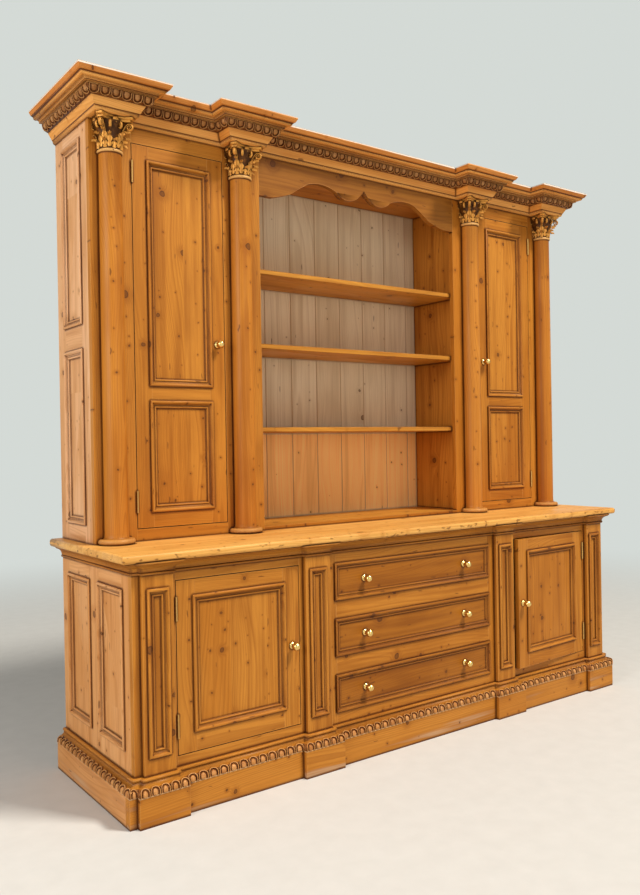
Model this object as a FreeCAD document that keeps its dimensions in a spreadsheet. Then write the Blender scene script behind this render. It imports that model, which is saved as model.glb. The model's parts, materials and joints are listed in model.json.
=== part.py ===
"""A breakfront pine hutch: a base with drawers and cupboards, and shelves between two cupboards above it.

Millimetres. The origin is on the floor under the middle of the carcass. Z is up, the front faces -Y, and
X runs to the right of someone who stands in front of it.
"""
import FreeCAD, Part
import math
import os

import Sketcher

SIZES = {
    # the whole piece
    "base_wide": 2486,
    "deep": 682,
    "base_tall": 872,
    "upper_tall": 1602,
    "upper_deep": 332,
    # boards
    "side_thick": 22,
    "frame_thick": 24,
    "partition_thick": 20,
    "back_thick": 12,
    "floor_thick": 20,
    "shelf_thick": 20,
    "worktop_thick": 29,
    "running_gap": 0.3,
    # plinth and its cap
    "plinth_tall": 101,
    "plinth_cap_tall": 49,
    "plinth_proud": 33,
    "bearer_thick": 30,
    "bearer_offset": 330,
    # pilasters of the base, and the reveals beside them
    "pilaster_wide": 112,
    "pilaster_proud": 18,
    "pilaster_margin": 16,
    "pilaster_panel_rise": 56,
    "pilaster_panel_drop": 46,
    "corner_reveal": 27,
    "outer_door_reveal": 15,
    "inner_door_reveal": 19,
    "drawer_reveal": 32,
    # worktop and the moulding under it
    "worktop_overhang": 49,
    "worktop_nose": 11,
    "under_moulding_tall": 43,
    "under_moulding_proud": 30,
    # panel mouldings
    "moulding_wide": 28,
    "moulding_proud": 8,
    "moulding_lap": 10,
    "panel_set_back": 8,
    "panel_thick": 8,
    "panel_groove": 8,
    # base doors
    "lower_door_rise": 35,
    "lower_door_drop": 30,
    "door_thick": 22,
    "door_gap": 3,
    "door_stop": 8,
    "lower_panel_margin": 59,
    "lower_panel_rise": 67,
    "lower_panel_drop": 56,
    "ajar_angle": 3.2,
    # drawers
    "drawer_lip_share": 0.3427,
    "drawer_rise": 9,
    "drawer_drop": 10,
    "drawer_rail_tall": 70,
    "drawer_moulding_wide": 24,
    "drawer_lap": 7,
    "drawer_gap": 1.5,
    "drawer_field_set_back": 4,
    "drawer_front_thick": 20,
    "drawer_side_thick": 12,
    "drawer_bottom_thick": 6,
    "drawer_box_drop": 27,
    "drawer_rear_gap": 125,
    "drawer_bottom_rise": 8,
    "drawer_knob_share": 0.6455,
    "runner_tall": 20,
    "runner_wide": 34,
    "guide_tall": 14,
    # knobs
    "knob_radius": 15,
    "knob_reach": 41,
    "knob_inset": 30,
    "lower_knob_share": 0.504,
    "upper_knob_share": 0.491,
    # hinges
    "hinge_long": 80,
    "hinge_leaf_thick": 1.2,
    "hinge_leaf_wide": 17,
    "knuckle_radius": 3.6,
    "pin_radius": 1.6,
    "pin_play": 0.05,
    "pin_stand_off": 0.4,
    "hinge_rise": 99,
    "lower_hinge_drop": 96,
    "upper_hinge_drop": 104,
    # catch blocks behind the doors' free corners
    "catch_wide": 30,
    "catch_tall": 40,
    "catch_deep": 14,
    "catch_drop": 10,
    "catch_inset": 20,
    # side panels of the base
    "base_side_front_stile": 45,
    "base_side_back_stile": 60,
    "base_side_mid_stile": 70,
    "base_side_panel_rise": 69,
    "base_side_panel_drop": 52,
    # base shelves
    "base_shelf_share": 0.44,
    "shelf_set_back": 30,
    # open bay and the upper doors
    "bay_share": 0.436,
    "bay_reveal": 26,
    "inner_column_reveal": 70,
    "outer_column_reveal": 86,
    "upper_door_rise": 44,
    "upper_door_drop": 55,
    "upper_panel_margin": 54,
    "small_panel_rise": 58,
    "tall_panel_drop": 53,
    "door_mid_rail_tall": 52,
    "small_panel_share": 0.3317,
    "upper_partition_reveal": 33,
    "upper_floor_thick": 14,
    # upper side panels
    "upper_side_front_stile": 56,
    "upper_side_back_stile": 68,
    "upper_side_panel_rise": 64,
    "upper_side_panel_drop": 45,
    "upper_side_mid_rail_tall": 86,
    "upper_side_low_panel_share": 0.488,
    # shelves
    "shelf_ease": 3,
    # back boards
    "back_board_wide": 140.3,
    "back_joint_offset": 95,
    "back_joint_chamfer": 3,
    "upper_back_inset": 10,
    # valance
    "valance_tall": 155,
    "valance_rise": 103,
    # columns and capitals
    "column_proud": 17,
    "column_radius": 42,
    "column_top_radius": 40,
    "column_foot_radius": 65,
    "column_foot_tall": 20,
    "column_sweep_tall": 12,
    "column_swell_share": 0.33,
    "astragal_tall": 15,
    "astragal_proud": 6,
    "capital_tall": 109,
    "abacus_half_wide": 72,
    "abacus_thick": 16,
    "abacus_proud": 67,
    "volute_radius": 12,
    "volute_long": 16,
    "volute_drop_share": 0.8,
    # cornice
    "cornice_tall": 110,
    "cornice_proud": 98,
    "cornice_wall": 20,
    "break_wide": 144,
    "break_proud": 79,
    "ceiling_thick": 20,
}

# across share of the moulding's width, level share from the panel's face up to the moulding's crest
PANEL_MOULDING_SHARES = (
    (0, 0.69, 0.12, 1), (0.36, 0.8), (0.42, 0.66, 0.52, 0.36), (0.7, 0.28, 0.83, 0.44), (0.94, 0.16), (1, 0),
)
# out share of the projection, up share of the height
PLINTH_CAP_SHARES = (
    (0, 0), (1, 0), (1, 0.04, 0.96, 0.3), (0.7, 0.45), (0.6, 0.48, 0.34, 0.58), (0.26, 0.78),
    (0.34, 0.8, 0.36, 0.92), (0.18, 1), (0, 1),
)
UNDER_MOULDING_SHARES = (
    (0, 0), (0.1, 0, 0.22, 0.1), (0.1, 0.2), (0.16, 0.24, 0.34, 0.6), (0.8, 0.78), (0.86, 0.84),
    (1, 0.9), (1, 1), (0, 1),
)
CORNICE_SHARES = (
    (0, 0, 0.078, 0.036), (0.1, 0.11), (0.12, 0.13), (0.285, 0.38), (0.35, 0.4), (0.36, 0.41, 0.46, 0.47),
    (0.49, 0.59), (0.51, 0.6), (0.51, 0.64), (0.62, 0.64, 0.64, 0.71), (0.73, 0.72, 0.81, 0.73),
    (0.84, 0.79), (0.86, 0.81), (0.93, 0.84), (1, 0.945), (1, 1),
)
# across share of half the bay, up share of the rise, from the notch in the middle outwards
VALANCE_SHARES = (
    (0, 1, 0.015, 0.854), (0.044, 0.748, 0.144, 0.466), (0.277, 0.709, 0.461, 0.903),
    (0.554, 0.806, 0.627, 0.573), (0.712, 0.272, 0.793, 0.126), (0.878, 0), (1, 0),
)
# out share of the ball's radius, up share of the knob's reach, from the back of the rose to the crown
KNOB_SHARES = (
    (0, 0), (0.9, 0), (0.9, 0.049, 0.833, 0.098), (0.667, 0.122), (0.567, 0.122, 0.433, 0.171), (0.4, 0.244),
    (0.4, 0.305, 1, 0.598), (0.72, 0.89), (0.62, 0.927, 0.42, 0.978), (0.2, 1), (0, 1),
)
# out share of the foot's radius, up share of its height
COLUMN_FOOT_SHARES = (
    (0, 0), (0.908, 0, 1, 0.35), (0.908, 0.7), (0.815, 0.75, 0.754, 0.9), (0.708, 1),
)
# out share of the ring's projection, up share of its height
ASTRAGAL_SHARES = ((0, 0), (0, 0.2, 1, 0.5), (0, 0.8), (0, 1))
# out share between the top of the shaft and the corner of the abacus, up share of the bell
BELL_SHARES = (
    (0, 0), (0.1, 0.08), (0.34, 0.36), (0.3, 0.42), (0.1, 0.4), (0.14, 0.5), (0.52, 0.78), (0.46, 0.84),
    (0.26, 0.8), (0.36, 1),
)
# across share of half the abacus, share of its projection from the column's axis towards the back
ABACUS_SHARES = (
    (0.86, -1), (1, -0.8, 0.8, -0.2), (0.8, 0.3), (-0.8, 0.3, -0.8, -0.2), (-1, -0.8), (-0.86, -1, 0, -0.82),
)
# up share of the open space between the floor board and the ceiling board
OPEN_SHELF_SHARES = (0.273, 0.504, 0.709)
# how far in the middle of a quarter round lies, as a share of its radius
EASED_SHARE = 1 - math.sqrt(0.5)
# the two ends of a sketch edge
START, END = 1, 2
DRAWERS = 3

doc = FreeCAD.newDocument("Hutch")
sheet = doc.addObject("Spreadsheet::Sheet", "Sizes")
nodes = []


class Length:
    """A size that knows its number and the words that bind it to the sheet."""

    def __init__(self, number, words):
        self.number = number
        self.words = words

    def joined(self, sign, other, number):
        words = other.words if isinstance(other, Length) else repr(other)
        return Length(number, f"({self.words} {sign} {words})")

    def __float__(self):
        return float(self.number)

    def __add__(self, other):
        return self.joined("+", other, self.number + float(other))

    def __radd__(self, other):
        return self + other

    def __sub__(self, other):
        return self.joined("-", other, self.number - float(other))

    def __mul__(self, other):
        return self.joined("*", other, self.number * float(other))

    def __truediv__(self, other):
        return self.joined("/", other, self.number / float(other))

    def __neg__(self):
        return Length(-self.number, f"(-{self.words})")


def fill_sheet():
    """Write every driving size into the sheet and hand them back by name."""
    for row, (name, number) in enumerate(SIZES.items(), start=1):
        sheet.set(f"A{row}", name)
        sheet.set(f"B{row}", str(number))
        sheet.setAlias(f"B{row}", name)
    doc.recompute()
    return {name: Length(float(getattr(sheet, name)), f"Sizes.{name}") for name in SIZES}


size = fill_sheet()

# levels above the floor
wall_top = size["base_tall"] - size["worktop_thick"]
cap_top = size["plinth_tall"] + size["plinth_cap_tall"]
under_moulding_low = wall_top - size["under_moulding_tall"]
lower_door_low = cap_top + size["lower_door_rise"]
lower_door_high = under_moulding_low - size["lower_door_drop"]
bottom_top = lower_door_low + size["door_stop"]
upper_top = size["base_tall"] + size["upper_tall"]
cornice_low = upper_top - size["cornice_tall"]
ceiling_low = cornice_low - size["ceiling_thick"]
capital_low = cornice_low - size["capital_tall"]
upper_floor_top = size["base_tall"] + size["upper_floor_thick"]
upper_door_low = size["base_tall"] + size["upper_door_rise"]
upper_door_high = cornice_low - size["upper_door_drop"]

# places from side to side
base_half = size["base_wide"] / 2
base_inner = base_half - size["side_thick"]
pilaster_half = size["pilaster_wide"] / 2
drawer_lip_half = base_half * size["drawer_lip_share"]
drawer_opening_half = drawer_lip_half - size["drawer_lap"]
inner_pilaster = drawer_lip_half + size["drawer_reveal"] + pilaster_half
outer_pilaster = base_half - size["corner_reveal"] - pilaster_half
lower_door_inner = inner_pilaster + pilaster_half + size["inner_door_reveal"]
lower_door_outer = outer_pilaster - pilaster_half - size["outer_door_reveal"]
runner_inner = drawer_opening_half - size["drawer_side_thick"]
base_partition_inner = runner_inner + size["runner_wide"]
base_partition_outer = base_partition_inner + size["partition_thick"]
bay_half = base_half * size["bay_share"]
inner_column = bay_half + size["bay_reveal"] + size["break_wide"] / 2
outer_column = base_half - size["break_wide"] / 2
upper_door_inner = inner_column + size["inner_column_reveal"]
upper_door_outer = outer_column - size["outer_column_reveal"]
upper_partition_inner = bay_half + size["upper_partition_reveal"]
upper_partition_outer = upper_partition_inner + size["partition_thick"]

# places from front to back
back = size["deep"] / 2
front = -back
base_face = front + size["plinth_proud"] + size["pilaster_proud"]
base_behind = base_face + size["frame_thick"]
pilaster_face = base_face - size["pilaster_proud"]
base_back_face = back - size["back_thick"]
upper_face = back - size["upper_deep"]
upper_behind = upper_face + size["frame_thick"]
upper_back_rear = back - size["upper_back_inset"]
upper_back_face = upper_back_rear - size["back_thick"]
break_face = upper_face - size["break_proud"]
column_axis = upper_face - size["column_proud"]


def point(x, y, z):
    return FreeCAD.Vector(float(x), float(y), float(z))


def bind(item, prop, length):
    """Tie one property to the sheet, or leave it at its default of nought."""
    if isinstance(length, Length):
        item.setExpression(prop, length.words)


def place(item, x, y, z):
    for axis, length in zip("xyz", (x, y, z)):
        bind(item, f"Placement.Base.{axis}", length)
    return item


def board(name, x, y, z):
    """A plain board between a low and a high place along each axis."""
    item = doc.addObject("Part::Box", name)
    for prop, (low, high) in zip(("Length", "Width", "Height"), (x, y, z)):
        bind(item, prop, high - low if isinstance(high, Length) else -(low - high))
    return place(item, x[0], y[0], z[0])


def rod(name, radius, x, y, z):
    """An upright rod between a low and a high place."""
    item = doc.addObject("Part::Cylinder", name)
    bind(item, "Radius", radius)
    bind(item, "Height", z[1] - z[0])
    return place(item, x, y, z[0])


def group(name, pieces):
    item = doc.addObject("Part::Compound", name)
    item.Links = pieces
    return item


def fused(name, pieces):
    item = doc.addObject("Part::MultiFuse", name)
    item.Shapes = pieces
    return item


def cut(name, base, tool):
    item = doc.addObject("Part::Cut", name)
    item.Base = base
    item.Tool = tool
    return item


def shaped(name, shape):
    """A piece whose section is swept, which has no primitive of its own."""
    item = doc.addObject("Part::Feature", name)
    item.Shape = shape
    item.Placement = FreeCAD.Placement()
    return item


def node(item):
    """Keep a piece as a sub-part of the hutch, under its own name."""
    item.Label = item.Name
    nodes.append(item)
    return item


def mirrored(low, high):
    """The same span on the left and on the right."""
    return ((-high, -low), (low, high))


def on_side(side, low, high):
    return (low, high) if side > 0 else (-high, -low)


def fix_vertex(sketch, geometry, vertex, across, up):
    """Hold a sketch point at a named distance from the origin along each axis."""
    for kind, axis, length in (("DistanceX", -2, across), ("DistanceY", -1, up)):
        if isinstance(length, Length):
            constraint = Sketcher.Constraint(kind, -1, 1, geometry, vertex, float(length))
            number = sketch.addConstraint(constraint)
            sketch.setExpression(f"Constraints[{number}]", length.words)
        else:
            sketch.addConstraint(Sketcher.Constraint("PointOnObject", geometry, vertex, axis))


def outline(body, role, corners):
    """A closed outline; a corner with four numbers starts an arc through the second pair."""
    sketch = body.newObject("Sketcher::SketchObject", f"{body.Name}_outline")
    plane = [item for item in body.Origin.OriginFeatures if item.Role == role][0]
    sketch.AttachmentSupport = [(plane, "")]
    sketch.MapMode = "FlatFace"
    ends = []
    for index, corner in enumerate(corners):
        start = point(corner[0], corner[1], 0)
        following = corners[(index + 1) % len(corners)]
        end = point(following[0], following[1], 0)
        if len(corner) == 2:
            edge = sketch.addGeometry(Part.LineSegment(start, end), False)
            ends.append((edge, START, END))
        else:
            ends.append(draw_arc(sketch, corner, start, end))
    for index, (edge, first, last) in enumerate(ends):
        next_edge, next_first, _ = ends[(index + 1) % len(ends)]
        sketch.addConstraint(Sketcher.Constraint("Coincident", edge, last, next_edge, next_first))
        fix_vertex(sketch, edge, first, corners[index][0], corners[index][1])
    return sketch


def draw_arc(sketch, corner, start, end):
    """An arc held by a point it passes through, with its ends named in the order they are met."""
    via = point(corner[2], corner[3], 0)
    edge = sketch.addGeometry(Part.Arc(start, via, end), False)
    through = sketch.addGeometry(Part.Point(via), True)
    fix_vertex(sketch, through, START, corner[2], corner[3])
    sketch.addConstraint(Sketcher.Constraint("PointOnObject", through, START, edge))
    flipped = (sketch.getPoint(edge, START) - start).Length > (sketch.getPoint(edge, END) - start).Length
    return (edge, END, START) if flipped else (edge, START, END)


def turned(name, corners):
    """A piece turned on a lathe round its own upright axis."""
    body = doc.addObject("PartDesign::Body", name)
    sketch = outline(body, "XZ_Plane", corners)
    turning = body.newObject("PartDesign::Revolution", f"{name}_turning")
    turning.Profile = sketch
    turning.ReferenceAxis = (sketch, ["V_Axis"])
    turning.Angle = 360
    return body


def sawn(name, role, corners, thick):
    """A flat piece sawn to an outline."""
    body = doc.addObject("PartDesign::Body", name)
    sketch = outline(body, role, corners)
    pad = body.newObject("PartDesign::Pad", f"{name}_board")
    pad.Profile = sketch
    bind(pad, "Length", thick)
    return body


def scaled(shares, across, up):
    """Turn a table of shares into named lengths, an arc's middle point with it."""
    corners = []
    for corner in shares:
        factors = (across, up) * (len(corner) // 2)
        corners.append(tuple(factor * share if share else 0 for factor, share in zip(factors, corner)))
    return corners


def raised(corners, out, up):
    """Move an outline, an arc's middle point with it."""
    return [tuple(length + (up if index % 2 else out) for index, length in enumerate(corner)) for corner in corners]


def swept(path, start, across, up, corners):
    """Run a section along a path with mitred corners."""
    spots = [[start + across * float(pair[0]) + up * float(pair[1])
              for pair in zip(corner[::2], corner[1::2])] for corner in corners]
    edges = []
    for index, spot in enumerate(spots):
        end = spots[(index + 1) % len(spots)][0]
        curve = Part.LineSegment(spot[0], end) if len(spot) == 1 else Part.Arc(spot[0], spot[1], end)
        edges.append(curve.toShape())
    return Part.makePolygon(path).makePipeShell([Part.Wire(edges)], True, False, 1)


class Wall:
    """A face that panelled pieces are laid out on, along it, into it and up it."""

    def __init__(self, side, face, sideways=False):
        self.side = side
        self.face = face
        self.sideways = sideways

    def board(self, name, along, into, up):
        if self.sideways:
            return board(name, on_side(self.side, self.face - into[1], self.face - into[0]), along, up)
        return board(name, on_side(self.side, *along), (self.face + into[0], self.face + into[1]), up)

    def spot(self, along, up):
        if self.sideways:
            return point(self.side * float(self.face), along, up)
        return point(self.side * float(along), self.face, up)

    def moulding(self, name, along, up, corners):
        """A mitred moulding round a rectangle of the wall."""
        spots = [self.spot(along[0], up[0]), self.spot(along[1], up[0]),
                 self.spot(along[1], up[1]), self.spot(along[0], up[1])]
        start = (spots[0] + spots[1]) * 0.5
        outwards = point(self.side, 0, 0) if self.sideways else point(0, -1, 0)
        path = [start, spots[1], spots[2], spots[3], spots[0], start]
        return shaped(name, swept(path, start, point(0, 0, 1), outwards, corners))


def moulding_section(wide, lap, set_back, lift):
    """The panel moulding: it laps over the frame and steps down to the panel."""
    curve = raised(scaled(PANEL_MOULDING_SHARES, wide, set_back + size["moulding_proud"]), 0, -set_back)
    return [(0, lift)] + curve + [(lap, -set_back), (lap, lift)]


def lapped(spans):
    """The openings of a frame, inside the edges that its mouldings lap over."""
    lap = size["moulding_lap"]
    return [(low + lap, high - lap) for low, high in spans]


def between(spans, low, high):
    """What the spans leave free between a low and a high place."""
    edges = [low] + [edge for span in spans for edge in span] + [high]
    return list(zip(edges[::2], edges[1::2]))


def split_span(low, high, rail, share):
    """Two spans with a rail between them, the first a share of both."""
    middle = low + (high - low - rail) * share
    return [(low, middle), (middle + rail, high)]


def frame_boards(wall, name, along, up, thick, across_panels, up_panels):
    """Uprights of the whole height with rails butted between them."""
    boards = [wall.board(f"{name}_stile_{number}", span, (0, thick), up)
              for number, span in enumerate(between(lapped(across_panels), *along), start=1)]
    for column, across in enumerate(lapped(across_panels), start=1):
        for row, span in enumerate(between(lapped(up_panels), *up), start=1):
            boards.append(wall.board(f"{name}_rail_{column}_{row}", across, (0, thick), span))
    return boards


def panel_moulding(wall, name, along, up):
    section = moulding_section(size["moulding_wide"], size["moulding_lap"], size["panel_set_back"], 0)
    return wall.moulding(name, along, up, section)


def panel_board(wall, name, along, up):
    """A panel board that reaches into the grooves of its frame."""
    reach = size["moulding_lap"] - size["panel_groove"]
    into = (size["panel_set_back"], size["panel_set_back"] + size["panel_thick"])
    return wall.board(name, (along[0] + reach, along[1] - reach), into, (up[0] + reach, up[1] - reach))


def panelled_frame(wall, name, along, up, thick, across_panels, up_panels):
    """A frame grooved for its panels, and the panels with their mouldings."""
    panels = []
    mouldings = []
    for column, across in enumerate(across_panels, start=1):
        for row, upwards in enumerate(up_panels, start=1):
            panels.append(panel_board(wall, f"{name}_panel_{column}_{row}", across, upwards))
            mouldings.append(panel_moulding(wall, f"{name}_moulding_{column}_{row}", across, upwards))
    boards = frame_boards(wall, name, along, up, thick, across_panels, up_panels)
    frame = cut(f"{name}_grooved", group(f"{name}_boards", boards), group(f"{name}_panels", panels))
    return frame, panels + mouldings


def stepped_path(half, wall, rear, breaks, proud):
    """The plan of a breakfront wall from its back left corner round to its back right one."""
    right = [(half, rear), (half, wall)]
    for low, high in breaks:
        right += [(high, wall), (high, wall - proud), (low, wall - proud), (low, wall)]
    left = [(-x, y) for x, y in right]
    return corners_only(left + right[::-1])


def corners_only(plan):
    """Drop the points where a plan doesn't turn, such as those of a break that ends at the corner."""
    kept = [plan[0]]
    for spot, following in zip(plan[1:], plan[2:]):
        arriving = point(*spot, 0) - point(*kept[-1], 0)
        leaving = point(*following, 0) - point(*spot, 0)
        if arriving.cross(leaving).Length > 0:
            kept.append(spot)
    return kept + [plan[-1]]


def run_moulding(name, plan, level, corners):
    """A moulding that runs round the stepped front and both ends."""
    path = [point(x, y, level) for x, y in plan]
    return shaped(name, swept(path, path[0], point(-1, 0, 0), point(0, 0, 1), corners))


def make_plinth():
    half = base_half + size["plinth_proud"]
    face = base_face - size["plinth_proud"]
    upright = (0, size["plinth_tall"])
    node(board("plinth_front", (-half, half), (face, base_face), upright))
    blocks = []
    for middle in (inner_pilaster, outer_pilaster):
        reach = pilaster_half + size["plinth_proud"]
        for span in mirrored(middle - reach, middle + reach):
            blocks.append(board(f"plinth_block_{len(blocks) + 1}", span, (front, face), upright))
    node(group("plinth_blocks", blocks))
    ends = [board(f"plinth_end_{number}", span, (base_face, back), upright)
            for number, span in enumerate(mirrored(base_half, half), start=1)]
    node(group("plinth_ends", ends))
    cap = scaled(PLINTH_CAP_SHARES, size["plinth_proud"], size["plinth_cap_tall"])
    node(run_moulding("plinth_cap", base_plan(), size["plinth_tall"], cap))


def make_plinth_rails():
    """A back rail and three bearers that carry the bottom board."""
    upright = (0, bottom_top - size["floor_thick"])
    rail_face = base_back_face - size["bearer_thick"]
    rails = [board("plinth_back_rail", (-base_inner, base_inner), (rail_face, base_back_face), upright)]
    middle = size["bearer_thick"] / 2
    outer = mirrored(size["bearer_offset"] - middle, size["bearer_offset"] + middle)
    for number, span in enumerate(((-middle, middle),) + outer, start=1):
        rails.append(board(f"plinth_bearer_{number}", span, (base_behind, rail_face), upright))
    node(group("plinth_rails", rails))


def base_plan():
    breaks = [(middle - pilaster_half, middle + pilaster_half) for middle in (outer_pilaster, inner_pilaster)]
    return stepped_path(base_half, base_face, back, breaks, size["pilaster_proud"])


def make_base_sides():
    first = base_behind + size["base_side_front_stile"]
    last = back - size["base_side_back_stile"]
    heights = (cap_top + size["base_side_panel_rise"], under_moulding_low - size["base_side_panel_drop"])
    make_sides("base", 0, wall_top, base_behind, split_span(first, last, size["base_side_mid_stile"], 1 / 2),
               [heights])


def make_upper_sides():
    across = (upper_behind + size["upper_side_front_stile"], back - size["upper_side_back_stile"])
    low = size["base_tall"] + size["upper_side_panel_rise"]
    high = cornice_low - size["upper_side_panel_drop"]
    heights = split_span(low, high, size["upper_side_mid_rail_tall"], size["upper_side_low_panel_share"])
    make_sides("upper", size["base_tall"], cornice_low, upper_behind, [across], heights)


def make_sides(name, low, high, start, across_panels, up_panels):
    frames = []
    fillings = []
    for side, word in ((-1, "left"), (1, "right")):
        wall = Wall(side, base_half, sideways=True)
        frame, filling = panelled_frame(wall, f"{name}_{word}_side", (start, back), (low, high),
                                        size["side_thick"], across_panels, up_panels)
        frames.append(frame)
        fillings += filling
    node(group(f"{name}_sides", frames))
    node(group(f"{name}_side_panels", fillings))


def make_base_inside():
    inside = (-base_inner, base_inner)
    floor = (bottom_top - size["floor_thick"], bottom_top)
    node(board("base_bottom", inside, (base_behind, base_back_face), floor))
    node(board("base_back", inside, (base_back_face, back), (floor[0], wall_top)))
    partitions = []
    shelves = []
    shelf_low = bottom_top + (wall_top - bottom_top) * size["base_shelf_share"] - size["shelf_thick"]
    for number, side in enumerate((-1, 1), start=1):
        partitions.append(board(f"base_partition_{number}", on_side(side, base_partition_inner, base_partition_outer),
                                (base_behind, base_back_face), (bottom_top, wall_top)))
        shelves.append(board(f"base_shelf_{number}", on_side(side, base_partition_outer, base_inner),
                             (base_behind + size["shelf_set_back"], base_back_face),
                             (shelf_low, shelf_low + size["shelf_thick"])))
    node(group("base_partitions", partitions))
    node(group("base_shelves", shelves))


def drawer_spans(number):
    """The lip of a drawer, the opening it closes and the board that fills the opening."""
    lowest = lower_door_low + size["drawer_rise"]
    highest = lower_door_high - size["drawer_drop"]
    tall = (highest - lowest - size["drawer_rail_tall"] * (DRAWERS - 1)) / DRAWERS
    low = lowest + (tall + size["drawer_rail_tall"]) * number
    lip = (low, low + tall)
    opening = (lip[0] + size["drawer_lap"], lip[1] - size["drawer_lap"])
    return lip, opening, (opening[0] + size["drawer_gap"], opening[1] - size["drawer_gap"])


def make_base_face_frame():
    """Stiles and rails of the base's front, with the drawer rails between the inner stiles."""
    depth = (base_face, base_behind)
    low = size["plinth_tall"] / 2
    boards = []
    for word, span in (("outer", (lower_door_outer, base_half)), ("inner", (drawer_opening_half, lower_door_inner))):
        for number, across in enumerate(mirrored(*span), start=1):
            boards.append(board(f"base_{word}_stile_{number}", across, depth, (low, wall_top)))
    for number, across in enumerate(mirrored(lower_door_inner, lower_door_outer), start=1):
        for word, levels in (("bottom", (low, lower_door_low)), ("top", (lower_door_high, wall_top))):
            boards.append(board(f"base_{word}_rail_{number}", across, depth, levels))
    openings = [drawer_spans(number)[1] for number in range(DRAWERS)]
    for number, levels in enumerate(between(openings, low, wall_top), start=1):
        boards.append(board(f"drawer_rail_{number}", (-drawer_opening_half, drawer_opening_half), depth, levels))
    node(group("base_face_frame", boards))


def make_pilasters():
    """Boards planted on the stiles, each with a sunk panel and its moulding."""
    heights = (cap_top + size["pilaster_panel_rise"], under_moulding_low - size["pilaster_panel_drop"])
    pieces = []
    for middle in (inner_pilaster, outer_pilaster):
        for side in (-1, 1):
            pieces += pilaster(len(pieces) // 2 + 1, Wall(side, pilaster_face), middle, heights)
    node(group("pilasters", pieces))


def pilaster(number, wall, middle, heights):
    reach = pilaster_half - size["pilaster_margin"]
    ring = (middle - reach, middle + reach)
    whole = wall.board(f"pilaster_board_{number}", (middle - pilaster_half, middle + pilaster_half),
                       (0, size["pilaster_proud"]), (size["plinth_tall"], wall_top))
    across, upwards = lapped([ring, heights])
    sunk = wall.board(f"pilaster_sinking_{number}", across, (-size["running_gap"], size["panel_set_back"]), upwards)
    return [cut(f"pilaster_{number}", whole, sunk), panel_moulding(wall, f"pilaster_moulding_{number}", ring, heights)]


def make_worktop():
    """A single slab with a rounded nosing along its front and both ends."""
    half = base_half + size["worktop_overhang"]
    edge = base_face - size["worktop_overhang"]
    body = sawn("worktop", "XY_Plane", [(-half, edge), (half, edge), (half, back), (-half, back)],
                size["worktop_thick"])
    place(body, 0, 0, wall_top)
    doc.recompute()
    pad = body.Tip
    rear = float(back)
    nosed = []
    for number, side in enumerate(pad.Shape.Edges, start=1):
        box = side.BoundBox
        level = box.ZLength < float(size["running_gap"])
        at_back = box.YMin > rear - float(size["running_gap"])
        if level and not at_back:
            nosed.append(f"Edge{number}")
    nose = body.newObject("PartDesign::Fillet", "worktop_nosing")
    nose.Base = (pad, nosed)
    bind(nose, "Radius", size["worktop_nose"])
    body.Tip = nose
    node(body)
    under = scaled(UNDER_MOULDING_SHARES, size["under_moulding_proud"], size["under_moulding_tall"])
    node(run_moulding("worktop_moulding", base_plan(), under_moulding_low, under))


def make_drawer_runners():
    """Rails that carry each drawer, with a guide that keeps it straight."""
    pieces = []
    depth = (base_behind, base_back_face)
    for number in range(DRAWERS):
        top = drawer_spans(number)[2][0] - size["running_gap"]
        # the lowest pair lies on the bottom board
        low = top - size["runner_tall"] if number else bottom_top
        for side in (-1, 1):
            name = f"drawer_runner_{len(pieces) // 2 + 1}"
            pieces.append(board(name, on_side(side, runner_inner, base_partition_inner), depth, (low, top)))
            pieces.append(board(f"{name}_guide", on_side(side, drawer_opening_half, base_partition_inner), depth,
                                (top, top + size["guide_tall"])))
    node(group("drawer_runners", pieces))


def knob(name, x, y, z):
    """A ball knob on a stepped round rose that points out of the front."""
    body = turned(name, scaled(KNOB_SHARES, size["knob_radius"], size["knob_reach"]))
    body.Placement = FreeCAD.Placement(point(0, 0, 0), FreeCAD.Rotation(point(1, 0, 0), 90))
    return place(body, x, y, z)


def make_drawer(number):
    name = f"drawer_{number + 1}"
    lip, _, filling = drawer_spans(number)
    half = drawer_opening_half - size["drawer_gap"]
    front_face = base_face + size["drawer_field_set_back"]
    behind = front_face + size["drawer_front_thick"]
    section = moulding_section(size["drawer_moulding_wide"], size["drawer_lap"] + size["drawer_gap"],
                               size["drawer_field_set_back"], size["running_gap"])
    ring = Wall(1, base_face).moulding(f"{name}_moulding", (-drawer_lip_half, drawer_lip_half), lip, section)
    node(group(f"{name}_front", [board(f"{name}_front_board", (-half, half), (front_face, behind), filling), ring]))
    make_drawer_box(name, half, behind, filling)
    across = drawer_lip_half * size["drawer_knob_share"]
    knobs = [knob(f"{name}_knob_{turn}", x, front_face, (lip[0] + lip[1]) / 2)
             for turn, x in enumerate((-across, across), start=1)]
    node(group(f"{name}_knobs", knobs))


def make_drawer_box(name, half, behind, filling):
    rear = base_back_face - size["drawer_rear_gap"]
    low = filling[0]
    high = filling[1] - size["drawer_box_drop"]
    thick = size["drawer_side_thick"]
    pieces = [board(f"{name}_side_{number}", span, (behind, rear), (low, high))
              for number, span in enumerate(mirrored(half - thick, half), start=1)]
    inside = (-(half - thick), half - thick)
    pieces.append(board(f"{name}_back", inside, (rear - thick, rear), (low, high)))
    floor = low + size["drawer_bottom_rise"]
    pieces.append(board(f"{name}_bottom", inside, (behind, rear - thick),
                        (floor, floor + size["drawer_bottom_thick"])))
    node(group(f"{name}_box", pieces))


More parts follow.
